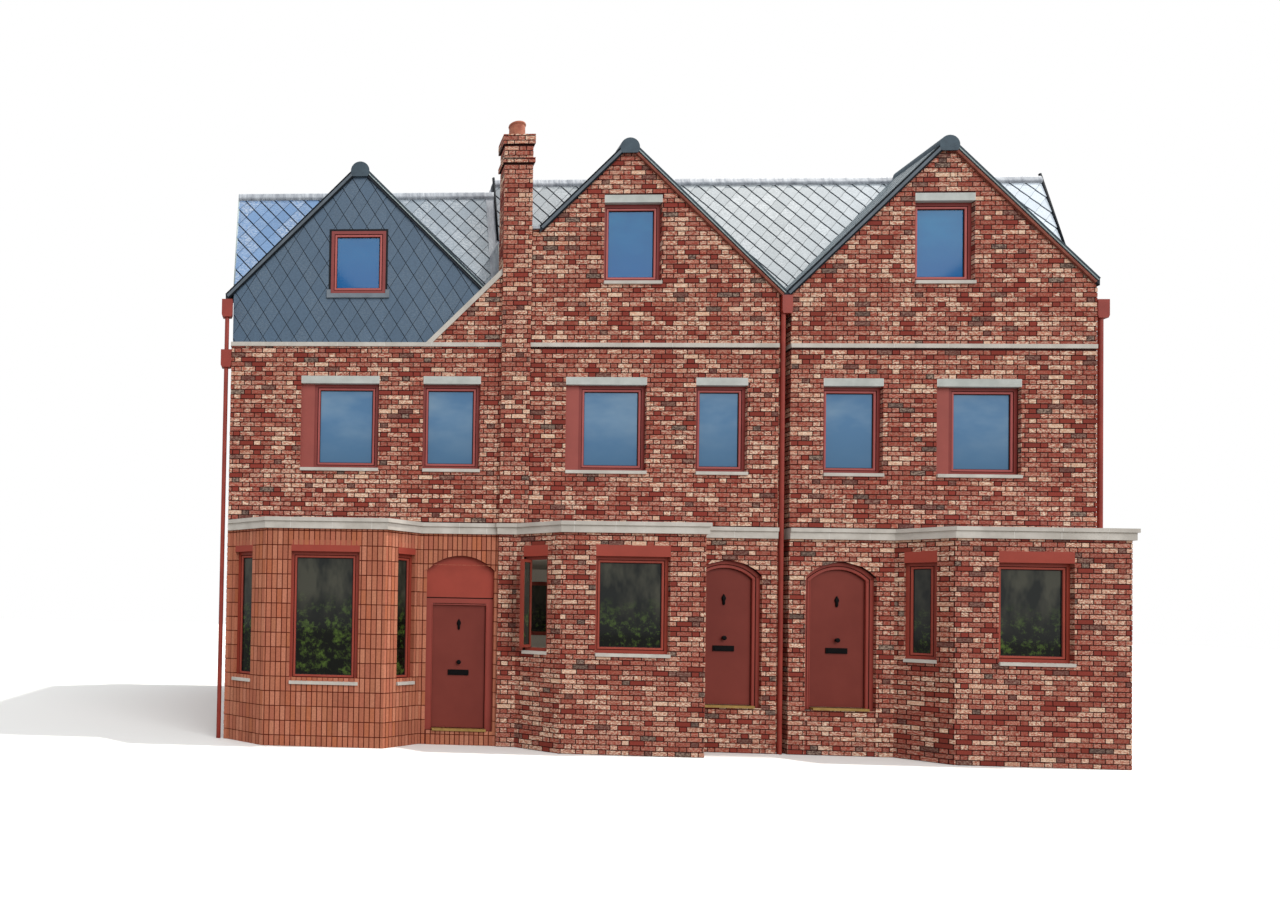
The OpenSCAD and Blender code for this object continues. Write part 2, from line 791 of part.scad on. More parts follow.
// Everything behind a line parallel to the mansard, shifted level by y
module behind_mansard(y) {
    cross_plate(-row_w, 2 * row_w, [[outer_y(string_z) + y, string_z],
        [outer_y(sky_z) + y, sky_z], [row_d, sky_z], [row_d, string_z]]);
}

module gable_slope(i, side) {
    x_end = side < 0 ? slope_x0[i] : slope_x1[i];
    drop = abs(gable_x[i] - x_end);
    color(slate) difference() {
        long_plate(slope_y0[i], row_d / 2, [[gable_x[i], apex_z[i] - slope_v],
            [gable_x[i], apex_z[i]], [x_end, apex_z[i] - drop],
            [x_end, apex_z[i] - drop - slope_v]]);
        behind_mansard(mansard_t);
        slot_hopper_room();
    }
}

// Room kept under the valley for the hopper in the recess
module slot_hopper_room() {
    reach = slot_hopper_w / 2 + 5;
    box(slot_pipe_x - reach, slot_pipe_x + reach, -verge_out - past,
        slot_pipe_y + hopper_d / 2 + 5, eaves_z, slot_hopper_z + hopper_h + 5);
}

module gable_slopes_left() {
    for (i = [0:2]) gable_slope(i, -1);
}

module gable_slopes_right() {
    for (i = [0:2]) gable_slope(i, 1);
}

module ridge_tiles() {
    for (i = [0:2]) color(slate) difference() {
        translate([gable_x[i], slope_y0[i] - ridge_out, apex_z[i] - ridge_drop])
            rotate([-90, 0, 0]) cylinder(r = ridge_r, h = row_d / 4);
        difference() {
            gable_outline(i);
            box(gable_x[i] - 2 * ridge_r, gable_x[i] + 2 * ridge_r, -bay_d, slope_y0[i],
                0, sky_z);
        }
        box(gable_x[i] - 2 * ridge_r, gable_x[i] + 2 * ridge_r, -bay_d, row_d,
            0, apex_z[i] - ridge_drop - ridge_r * 0.6);
        behind_mansard(-flash_t);
    }
}

// Lead along the top of the mansard, the step between the roofs and the saddle by the chimney
module lead_flashings() {
    saddle_y = inner_y(saddle_z - lead_t);
    color(lead) {
        difference() {
            union() {
                flash_strip(-mansard_out, party_x0, roof_z[0]);
                flash_strip(party_x0, row_w + mansard_out, roof_z[1]);
            }
            for (i = [0:2]) gable_outline(i);
        }
        difference() {
            mansard_piece(party_x0 - edge_strip_w, party_x0, eaves_z, roof_z[0] - flash_h,
                -strip_t);
            gable_outline(0);
            chimney_body();
        }
        on_rear() {
            flash_strip(-mansard_out, party_x0, roof_z[0]);
            flash_strip(party_x0, row_w + mansard_out, roof_z[1]);
        }
        box(chimney_x1, saddle_x1, -verge_out, saddle_y, saddle_z - lead_t, saddle_z);
        box(party_x0, chimney_x1 + 1, chimney_d - chimney_out, saddle_y,
            saddle_z - lead_t, saddle_z);
    }
}

module flash_strip(x0, x1, top) {
    cross_plate(x0, x1, [[outer_y(top - flash_h) - flash_t, top - flash_h],
        [outer_y(top + flash_t) - flash_t, top + flash_t],
        [outer_y(top) + mansard_t, top + flash_t], [outer_y(top) + mansard_t, top],
        [outer_y(top), top], [outer_y(top - flash_h), top - flash_h]]);
}

// A band that follows a run of corner points at a distance out from them
function band_point(p, a, b, out) = p + (a + b) * out / (1 + a * b);
function band_line(c, out) =
    let (n = [for (k = [0:len(c) - 2]) let (d = c[k + 1] - c[k]) [d[1], -d[0]] / norm(d)])
    [for (k = [0:len(c) - 1]) k == 0 ? c[0] + n[0] * out
        : k == len(c) - 1 ? c[k] + n[k - 1] * out
        : band_point(c[k], n[k - 1], n[k], out)];
function reversed(c) = [for (k = [len(c) - 1:-1:0]) c[k]];

module band(c, out, z0, z1) {
    slab(z0, z1, concat(band_line(c, out), reversed(c)));
}

module cornice_run(c) {
    band(c, cornice_low_out, cornice_z, cornice_z + cornice_low_h);
    band(c, cornice_top_out, cornice_z + cornice_low_h,
        cornice_z + cornice_low_h + cornice_top_h);
}

module cornice() {
    a = bay_corners[0];
    b = bay_corners[1];
    c = bay_corners[2];
    meet = [b[0][0] + wide_cant_w * chimney_out / bay_d, -chimney_out];
    step_z = cornice_z + cornice_low_h;
    color(stone) {
        cornice_run([[0, 0], a[0], a[1], a[2], a[3], [chimney_x0, 0],
            [chimney_x0, -chimney_out], meet, b[1], b[2], b[3], [slot_x0, 0]]);
        cornice_run([[slot_x1, 0], c[0], c[1], c[2], c[3]]);
        box(slot_x1 - return_out, slot_x1, -cornice_low_out, slot_d, cornice_z, step_z);
        box(slot_x1 - return_out, slot_x1, -cornice_top_out, slot_d, step_z,
            step_z + cornice_top_h);
    }
}

module string_courses() {
    color(stone) {
        box(-15, chimney_x0, -string_out, wall_t, string_z, string_top);
        box(chimney_x1, slot_x0, -string_out, 0, string_z, string_top);
        box(slot_x1, row_w, -string_out, 0, string_z, string_top);
        box(slot_x1 - return_out, slot_x1, -string_out, slot_d, string_z, string_top);
        difference() {
            long_plate(-string_out, rake_t, [[rake_x - coping_v, string_top],
                [rake_x, string_top], [chimney_x0, rake_z], [chimney_x0, rake_z + coping_v]]);
            chimney_body();
        }
    }
}

module stone_lintels() {
    color(stone) {
        for (i = [0:2]) first_floor_windows(i)
            lintel($x, $w, first_sill_z + first_window_h);
        for (i = [1:2])
            lintel(gable_window_x[i] - gable_window_w / 2, gable_window_w,
                gable_sill_z + gable_window_h);
        on_rear() for (v = rear_windows) lintel(v[0], v[1], v[2] + v[3]);
    }
}

module lintel(x, w, z) {
    box(x, x + w, -8, stone_in, z, z + lintel_h);
}

module sill(x, w, z, h) {
    box(x, x + w, -sill_out, stone_in, z - h, z);
}

module stone_sills() {
    color(stone) {
        for (i = [0:2]) first_floor_windows(i) sill($x, $w, first_sill_z, sill_h);
        for (i = [1:2])
            sill(gable_window_x[i] - gable_window_w / 2, gable_window_w, gable_sill_z, sill_h);
        difference() {
            for (i = [0:2]) bay_windows(i) sill($x, $w, bay_sill_z[i], bay_sill_h);
            chimney_body();
        }
        on_rear() for (v = rear_windows) sill(v[0], v[1], v[2], sill_h);
        box(gable_x[0] - slate_window_w / 2 - 55, gable_x[0] + slate_window_w / 2 + 55,
            slate_gable_set - 30, slate_gable_set, slate_sill_z - 60, slate_sill_z);
    }
}

panel_y = -5;

// Painted sheet panels over the bay windows, beside the wide windows and over the left door
module painted_panels() {
    color(oxide_red) difference() {
        painted_panel_set();
        chimney_body();
    }
}

module painted_panel_set() {
    union() {
        for (i = [0:2]) bay_windows(i)
            box($x, $x + $w, panel_y, stone_in, bay_head_z, bay_head_z + bay_panel_h);
        for (i = [0:2]) first_floor_windows(i) if ($panel > 0)
            box($x, $x + $panel, frame_recess - 15, frame_recess + frame_d, first_sill_z,
                first_sill_z + first_window_h);
        doorway_solid(0, 0, head_z + head_w, frame_recess, frame_recess + door_frame_d - 40);
    }
}

module window_frames_front() {
    color(oxide_red) difference() {
        window_frames_set();
        chimney_body();
    }
}

module window_frames_set() {
    union() {
        for (i = [0:2]) first_floor_windows(i)
            window_frame($x + $panel, $w - $panel, first_sill_z, first_window_h);
        for (i = [1:2]) window_frame(gable_window_x[i] - gable_window_w / 2, gable_window_w,
            gable_sill_z, gable_window_h);
        translate([0, slate_gable_set - frame_recess - 20, 0])
            window_frame(gable_x[0] - slate_window_w / 2, slate_window_w, slate_sill_z,
                slate_window_h);
        for (i = [0:2]) bay_windows(i) if (!(i == 1 && $w == bay_side_w))
            window_frame($x, $w, bay_sill_z[i], $h);
        bay_side_windows(1, 0) fixed_ring($x, $w, bay_sill_z[1], $h);
    }
}

// The fixed frame alone, where the opening light stands open
module fixed_ring(x, w, z, h) {
    y0 = frame_recess;
    difference() {
        box(x, x + w, y0, y0 + frame_d, z, z + h);
        box(x + frame_w, x + w - frame_w, y0 - past, y0 + frame_d + past,
            z + frame_w, z + h - frame_w);
    }
}

module window_frames_rear() {
    color(oxide_red) on_rear() for (v = rear_windows) window_frame(v[0], v[1], v[2], v[3]);
}

module glass_front() {
    color(glass_blue) {
        for (i = [0:2]) first_floor_windows(i)
            pane($x + $panel, $w - $panel, first_sill_z, first_window_h);
        for (i = [1:2]) pane(gable_window_x[i] - gable_window_w / 2, gable_window_w,
            gable_sill_z, gable_window_h);
        translate([0, slate_gable_set - frame_recess - 20, 0])
            pane(gable_x[0] - slate_window_w / 2, slate_window_w, slate_sill_z, slate_window_h);
        for (i = [0:2]) bay_windows(i) if (!(i == 1 && $w == bay_side_w))
            pane($x, $w, bay_sill_z[i], $h);
        at_open_light() box(sash_w, $lw - sash_w, 14, 38, sash_w, $lh - sash_w);
    }
}

module glass_rear() {
    color(glass_blue) on_rear() for (v = rear_windows) pane(v[0], v[1], v[2], v[3]);
}

// Puts the children at the side light of the middle bay, which is hung on its left edge
module at_open_light() {
    gap = 3;
    bay_side_windows(1, 0) {
        $lw = $w - 2 * frame_w - 2 * gap;
        $lh = $h - 2 * frame_w - 2 * gap;
        translate([$x + frame_w + gap, frame_recess, bay_sill_z[1] + frame_w + gap])
            rotate([0, 0, -open_light_angle]) children();
    }
}

module open_casement() {
    color(oxide_red) at_open_light() difference() {
        box(0, $lw, 0, 50, 0, $lh);
        box(sash_w, $lw - sash_w, -past, 60, sash_w, $lh - sash_w);
    }
}

// A door frame: jambs and head, with a stop in front of the leaf
module arched_frame(i) {
    z0 = floor_z[i];
    y0 = frame_recess;
    difference() {
        doorway_solid(i, 0, z0, y0, y0 + door_frame_d);
        doorway_solid(i, -door_frame_w, z0 - past, y0 + door_stop_d, y0 + door_frame_d + past);
        doorway_solid(i, -door_frame_w - door_stop_lap, z0 - past, y0 - past,
            y0 + door_stop_d + past);
    }
}

module square_frame(i) {
    z0 = floor_z[i];
    y0 = frame_recess;
    x = door_x0[i];
    difference() {
        box(x, x + doorway_w, y0, y0 + door_frame_d, z0, head_z + head_w);
        box(x + door_frame_w, x + doorway_w - door_frame_w, y0 + door_stop_d,
            y0 + door_frame_d + past, z0 - past, head_z);
        box(x + door_frame_w + door_stop_lap, x + doorway_w - door_frame_w - door_stop_lap,
            y0 - past, y0 + door_stop_d + past, z0 - past, head_z - door_stop_lap);
    }
}

module door_frames() {
    color(oxide_red) {
        square_frame(0);
        for (i = [1:2]) arched_frame(i);
    }
}

// Brickwork under each doorway with the threshold bar on it
module thresholds() {
    for (i = [0:2]) {
        color(i == 0 ? terracotta : brick)
            box(door_x0[i], door_x0[i] + doorway_w, 0, wall_t, 0, floor_z[i]);
        x = door_x0[i] + door_frame_w + door_stop_lap + 2;
        color(concrete) box(x, x + leaf_w - 2 * (door_stop_lap - leaf_gap) - 4, -30,
            leaf_y0 + leaf_t, floor_z[i] - 1, floor_z[i] + threshold_h);
    }
}

// A leaf with its hinge knuckles; side is -1 for hinges at the left
module leaf_body(i, side) {
    foot = floor_z[i] + leaf_foot;
    x = door_x0[i] + leaf_x_in;
    if (i == 0)
        box(x, x + leaf_w, leaf_y0, leaf_y0 + leaf_t, foot, foot + leaf_h);
    else
        doorway_solid(i, -leaf_x_in, foot, leaf_y0, leaf_y0 + leaf_t);
    for (k = [0:2])
        translate([side < 0 ? x : x + leaf_w, hinge_y, foot + 200 + k * (leaf_h - 500) / 2])
            cylinder(r = knuckle_r, h = 100);
}

module door_left() {
    color(door_red) leaf_body(0, 1);
}

module door_middle() {
    color(door_red) leaf_body(1, 1);
}

module door_right() {
    color(door_red) leaf_body(2, -1);
}

// Knocker, knob and letter plate on the middle line of a leaf
module door_fittings(i) {
    x = door_x0[i] + doorway_w / 2;
    z = floor_z[i];
    color(ironmongery) {
        translate([x, leaf_y0, z + knocker_z]) rotate([90, 0, 0]) {
            cylinder(r = 22, h = 12);
            translate([0, 62, 0]) cylinder(r = 13, h = 10);
            translate([0, -55, 0]) cylinder(r = 16, h = 14);
            translate([-7, -50, 0]) cube([14, 110, 9]);
        }
        translate([x, leaf_y0, z + knob_z]) rotate([90, 0, 0]) {
            cylinder(r = 26, h = 5);
            cylinder(r = 12, h = 34);
            translate([0, 0, 26]) cylinder(r1 = 20, r2 = 30, h = 10);
            translate([0, 0, 36]) cylinder(r1 = 30, r2 = 20, h = 10);
        }
        box(x - 150, x + 150, leaf_y0 - 12, leaf_y0, z + plate_z, z + plate_z + 70);
    }
}

module door_fittings_left() {
    door_fittings(0);
}

module door_fittings_middle() {
    door_fittings(1);
}

module door_fittings_right() {
    door_fittings(2);
}

module chimney_stack() {
    color(brick) {
        chimney_body();
        corbel(chimney_top_z - 2 * course, chimney_top_z);
        corbel(chimney_top_z - 6 * course, chimney_top_z - 5 * course);
    }
}

module corbel(z0, z1) {
    box(chimney_x0 - corbel_out, chimney_x1 + corbel_out, -chimney_out - corbel_out,
        chimney_d - chimney_out + corbel_out, z0, z1);
}

module chimney_pot() {
    color([0.80, 0.42, 0.29])
        translate([(chimney_x0 + chimney_x1) / 2, chimney_d / 2 - chimney_out, chimney_top_z])
            rotate_extrude() polygon([[pot_r - 40, 0], [pot_r - 3, 0], [pot_r - 6, pot_h - 45],
                [pot_r, pot_h - 35], [pot_r + 6, pot_h - 18], [pot_r, pot_h],
                [pot_r - 22, pot_h], [pot_r - 40, 30]]);
}

// A hopper, tapered and open at the top, with its pipe down to z0
module hopper_and_pipe(x, y, w, z, z0, shift = 0) {
    neck = w * 0.8;
    lip = z + hopper_h * lip_share;
    front = y - hopper_d / 2;
    difference() {
        long_plate(front, front + hopper_d, [[x - w / 2, lip], [x - w / 2, z + hopper_h],
            [x + w / 2, z + hopper_h], [x + w / 2, lip], [x + neck / 2, z], [x - neck / 2, z]]);
        box(x - w / 2 + 8, x + w / 2 - 8, front + 8, front + hopper_d - 8, lip,
            z + hopper_h + past);
    }
    translate([x - shift, y, z0]) cylinder(d = pipe_d, h = z + 5 - z0);
}

module rainwater_goods() {
    left_x = -hopper_gap - hopper_w / 2;
    right_x = row_w + hopper_gap + hopper_w / 2;
    left_z = left_apex_z - gable_x[0] - left_eaves_out - left_hopper_drop - hopper_h;
    right_z = apex_z[2] - (row_w + right_eaves_out - gable_x[2]) - right_hopper_drop - hopper_h;
    low_z = left_z - lower_hopper_drop;
    color(oxide_red) {
        hopper_and_pipe(left_x, pipe_y, hopper_w, left_z, low_z + hopper_h * lip_share);
        hopper_and_pipe(left_x, pipe_y, hopper_w, low_z, 0);
        hopper_and_pipe(slot_pipe_x, slot_pipe_y, slot_hopper_w, slot_hopper_z, 0,
            slot_pipe_shift);
        hopper_and_pipe(right_x, pipe_y, hopper_w, right_z, 0);
    }
}

module placed() {
    translate([-origin_x, -origin_y, 0]) children();
}

placed() ground_piers();
placed() door_arches();
placed() bay_left_walls();
placed() bay_front_walls();
placed() bay_right_walls();
placed() upper_wall_left();
placed() upper_wall_middle();
placed() upper_wall_right();
placed() slate_gable_wall();
placed() raking_parapet();
placed() end_walls();
placed() party_walls();
placed() rear_wall();
placed() ground_floors();
placed() first_floors();
placed() attic_floors();
placed() bay_slabs();
placed() mansard_front();
placed() mansard_rear();
placed() roof_deck();
placed() gable_slopes_left();
placed() gable_slopes_right();
placed() ridge_tiles();
placed() lead_flashings();
placed() cornice();
placed() string_courses();
placed() stone_lintels();
placed() stone_sills();
placed() painted_panels();
placed() window_frames_front();
placed() window_frames_rear();
placed() glass_front();
placed() glass_rear();
placed() open_casement();
placed() door_frames();
placed() thresholds();
placed() door_left();
placed() door_middle();
placed() door_right();
placed() door_fittings_left();
placed() door_fittings_middle();
placed() door_fittings_right();
placed() chimney_stack();
placed() chimney_pot();
placed() rainwater_goods();
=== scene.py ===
# Row of three brick houses: bricks, slates, stone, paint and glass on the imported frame.
# Lengths in metres. X runs along the front, Y from the street to the back, Z up.
import math
import bpy
import mathutils
import numpy as np
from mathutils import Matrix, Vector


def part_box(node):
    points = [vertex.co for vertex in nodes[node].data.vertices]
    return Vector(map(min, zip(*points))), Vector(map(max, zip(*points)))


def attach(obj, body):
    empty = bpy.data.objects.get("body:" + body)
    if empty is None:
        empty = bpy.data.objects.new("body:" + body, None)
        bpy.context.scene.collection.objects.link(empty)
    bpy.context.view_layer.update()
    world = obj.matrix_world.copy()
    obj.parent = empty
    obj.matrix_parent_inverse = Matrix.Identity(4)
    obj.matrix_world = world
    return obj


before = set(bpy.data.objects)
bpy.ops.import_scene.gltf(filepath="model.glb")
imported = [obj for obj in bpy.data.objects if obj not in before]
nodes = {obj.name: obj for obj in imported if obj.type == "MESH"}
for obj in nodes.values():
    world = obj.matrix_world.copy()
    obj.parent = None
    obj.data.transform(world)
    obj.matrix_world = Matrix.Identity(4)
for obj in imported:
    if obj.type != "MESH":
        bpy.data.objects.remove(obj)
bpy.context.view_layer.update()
print("frame loaded:", len(nodes), "nodes")

# Front left corner of the row on the ground, from which the plan below is measured
rowX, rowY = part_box("upper_wall_left")[0][:2]

plan = {
    "chimneyX": (4.305, 4.74), "chimneyY": (-0.055, 0.245), "chimneyTop": 9.7,
    "recessX": (8.58, 8.77), "recessD": 0.19, "rowW": 13.3, "rowD": 9.0, "wallT": 0.3,
    "cornice": (3.34, 3.51), "corniceStep": 3.45, "string": (6.33, 6.395), "eaves": 6.4,
    "mansardRun": 0.32, "mansardT": 0.2, "roofTop": (9.25, 9.5, 9.5), "partyX": 4.35,
    "gableX": (2.0205, 6.25, 11.09), "apex": (9.365, 9.63, 9.62), "slopeV": 0.106,
    "vergeY": (0.105, -0.04, -0.04), "saddleZ": 8.21, "rakeTop": 7.484, "slateY": 0.14,
    "valley": (8.675, 7.205), "floorZ": (0.225, 0.7, 0.7),
}


def pick(table, names):
    return [table[name] for name in names.split()]


(cx0, cx1), (rx0, rx1), rowW, rowD = pick(plan, "chimneyX recessX rowW rowD")
corniceZ, stringZ, gableX, apex = pick(plan, "cornice string gableX apex")
eaves, roofTop, partyX, floorZ, recessD = pick(plan, "eaves roofTop partyX floorZ recessD")
# Corners of each bay's outer face in plan, left to right
bayCorners = [
    [(0.045, 0.0), (0.645, -0.55), (2.485, -0.55), (3.085, 0.0)],
    [(4.52, 0.0), (5.12, -0.55), (7.25, -0.55), (7.25, 0.0)],
    [(10.345, 0.0), (10.83, -0.55), (13.3, -0.55), (13.3, 0.0)],
]
# Windows of the bays: bay, side, start along the side, width; one stands open
bayWindows = [(0, 0, 0.129, 0.4), (0, 1, 0.395, 1.05), (0, 2, 0.285, 0.4),
              (1, 0, 0.204, 0.4), (1, 1, 0.515, 1.1),
              (2, 0, 0.1233, 0.4), (2, 1, 0.615, 1.06)]
openWindow = (1, 0)
# First floor windows: left edge and width; the wide ones start with a painted panel
firstWindows = [(1.137, 1.25), (3.085, 0.905), (5.322, 1.25), (7.328, 0.79),
                (9.259, 0.9), (10.953, 1.25)]
gableWindows = [(x - 0.895 / 2, x + 0.895 / 2) for x in (6.33, 11.06)]
slateWindow = (1.5805, 2.4605, 7.232, 8.254)
# Heights: the hole in the wall from sill to lintel, and the glazed part of it
holeZ = {"first": (4.325, 5.855), "gable": (7.33, 8.755),
         "bay": [(0.95, 3.165), (1.475, 3.165), (1.475, 3.165)]}
glazedZ = {"first": (4.375, 5.735), "gable": (7.38, 8.635),
           "bay": [(1.0, 2.99), (1.525, 2.99), (1.525, 2.99)]}
panelW, wideFrom, frameY, shallowY, slateFrameY = 0.22, 1.2, 0.07, 0.055, 0.12
# Rear windows: width, places as shares of a house, holes, and what sill and lintel take
rear = {"w": 1.1, "shares": (0.27, 0.73), "holes": ((1.5, 3.07), (4.325, 5.855)),
        "sill": 0.05, "lintel": 0.12}
doorway = {"x": (3.19, 7.3, 9.015), "w": 1.065, "spring": 2.755, "rise": 0.24,
           "squareTop": 2.326}
doorW, springZ = doorway["w"], doorway["spring"]
lap = 0.005


def rgb(r, g, b):
    # sRGB 0-255 to linear: the usual power curve with its short straight foot
    c = np.array([r, g, b], float) / 255.0
    return np.where(c <= 0.04045, c / 12.92, ((c + 0.055) / 1.055) ** 2.4)


def addPiece(name, parts, finish, body="house", smooth=False):
    # Parts are (points in plan metres, faces as rows of indices, and a colour for each
    # point where the finish asks for it), made one mesh with indices moved past the others
    verts = np.concatenate([part[0] for part in parts]) + [rowX, rowY, 0]
    starts = np.cumsum([0] + [len(part[0]) for part in parts])
    loops = np.concatenate([np.concatenate(part[1]) + start
                            for part, start in zip(parts, starts)]).astype(np.int32)
    sizes = [len(face) for part in parts for face in part[1]]
    mesh = bpy.data.meshes.new(name)
    mesh.vertices.add(len(verts))
    mesh.vertices.foreach_set("co", verts.ravel())
    mesh.loops.add(len(loops))
    mesh.loops.foreach_set("vertex_index", loops)
    mesh.polygons.add(len(sizes))
    mesh.polygons.foreach_set("loop_start", np.cumsum([0] + sizes[:-1]).astype(np.int32))
    mesh.update(calc_edges=True)
    if len(parts[0]) == 3:
        layer = mesh.attributes.new("tint", "FLOAT_COLOR", "POINT")
        tint = np.concatenate([part[2] for part in parts]).astype(np.float32)
        layer.data.foreach_set("color", tint.ravel())
    mesh.polygons.foreach_set("use_smooth", np.full(len(sizes), smooth))
    mesh.validate()
    mesh.materials.append(finishes[finish])
    piece = bpy.data.objects.new(name, mesh)
    bpy.context.scene.collection.objects.link(piece)
    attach(piece, body)


def flatFace(origin, along, up=(0, 0, 1)):
    # A face by its origin, the way of its courses in plan and the way up it
    along, up = (np.array(way, float) / np.linalg.norm(way) for way in ((*along[:2], 0), up))
    return {"o": np.array(origin, float), "u": along, "v": up, "n": np.cross(along, up)}


def onFace(face, u, v, d):
    # point = origin + along * u + up * v + normal * d, for arrays u, v, d
    return (face["o"] + np.multiply.outer(u, face["u"]) + np.multiply.outer(v, face["v"])
            + np.multiply.outer(d, face["n"]))


def offsetPath(path, amounts, closed):
    # Lines parallel to a path: each corner moves along the mean of its two left normals,
    # stretched so that the distance to both edges is the amount
    path = np.asarray(path, float)
    ahead = np.roll(path, -1, 0) - path
    if not closed:
        ahead[-1] = ahead[-2]
    ahead /= np.linalg.norm(ahead, axis=1)[:, None]
    behind = np.roll(ahead, 1, 0)
    if not closed:
        behind[0] = ahead[0]
    left = np.stack([-ahead[:, 1], ahead[:, 0]], 1)
    middle = left + np.stack([-behind[:, 1], behind[:, 0]], 1)
    middle /= np.sum(middle * left, 1)[:, None]
    return path[None] + np.asarray(amounts)[:, None, None] * middle[None]


def gridFaces(m, n, closedM=True, closedN=True):
    # Quads between m rows of n points; rows or points may close on themselves
    return [[k * n + j, k * n + (j + 1) % n, (k + 1) % m * n + (j + 1) % n, (k + 1) % m * n + j]
            for k in range(m if closedM else m - 1) for j in range(n if closedN else n - 1)]


def trimAlong(face, path, profile, closed=False):
    # A profile carried along a path on a face. Profile points are (offset to the left of
    # the path, height over the face) in anticlockwise order, so that faces point outwards
    profile = np.asarray(profile, float)
    lines = offsetPath(path, profile[:, 0], closed)
    m, n = lines.shape[:2]
    verts = onFace(face, lines[..., 0].ravel(), lines[..., 1].ravel(),
                   np.repeat(profile[:, 1], n))
    faces = [[a, d, c, b] for a, b, c, d in gridFaces(m, n, closedN=closed)]
    if not closed:
        faces += [[k * n for k in range(m - 1, -1, -1)], [k * n + n - 1 for k in range(m)]]
    return verts, faces


def boxOn(face, u0, u1, v0, v1, d0, d1):
    v, half = (v0 + v1) / 2, (v1 - v0) / 2
    return trimAlong(face, [(u0, v), (u1, v)],
                     [(half, d0), (half, d1), (-half, d1), (-half, d0)])


def rectangle(u0, u1, v0, v1):
    return [(u0, v0), (u1, v0), (u1, v1), (u0, v1)]


def cutSpans(spans, holes, z):
    # spans less the holes that hold level z; a hole is (u0, u1, z0, z1)
    for u0, u1, z0, z1 in holes:
        if z0 < z < z1:
            spans = [part for a, b in spans for part in
                     ((a, min(b, u0)), (max(a, u1), b)) if part[1] - part[0] > 0.004]
    return spans


# Colour of the fired face and how much of it is smeared with cream
brickColours = {
    "share": [0.25, 0.2, 0.18, 0.09, 0.11, 0.09, 0.035, 0.03, 0.015],
    "colours": [(158, 72, 56), (150, 66, 52), (166, 84, 66), (138, 58, 47), (174, 100, 79),
                (187, 119, 95), (208, 158, 131), (102, 55, 49), (85, 61, 56)],
    "smear": [0.4, 0.2, 0.7, 0.0, 1.0, 1.2, 1.3, 0.2, 0.3],
    "swing": 0.1,
}
terracottaColours = {
    "share": [0.4, 0.3, 0.2, 0.1],
    "colours": [(182, 111, 84), (174, 103, 78), (190, 121, 94), (180, 105, 74)],
    "smear": [0.1, 0.0, 0.3, 0.0],
    "swing": 0.07,
}
flemish = {"pitch": 0.075, "joint": 0.015, "units": (0.2105, 0.097), "base": 0.0,
           "shift": 0.16875, "proud": 0.006, "uneven": 0.0018}
soldier = {"pitch": 0.2245, "joint": 0.014, "units": (0.0617,), "base": -0.061,
           "shift": 0.0, "proud": 0.007, "uneven": 0.0012}
jamb = {"units": (0.3,), "shift": 0.0, "proud": 0.003, "uneven": 0.001}
courseSizes = {"flemish": flemish, "jamb": {**flemish, **jamb}, "soldier": soldier,
               "wideSoldier": {**soldier, "units": (0.0665,)},
               "soldierJamb": {**soldier, **jamb}}
brickRng = np.random.default_rng(7)


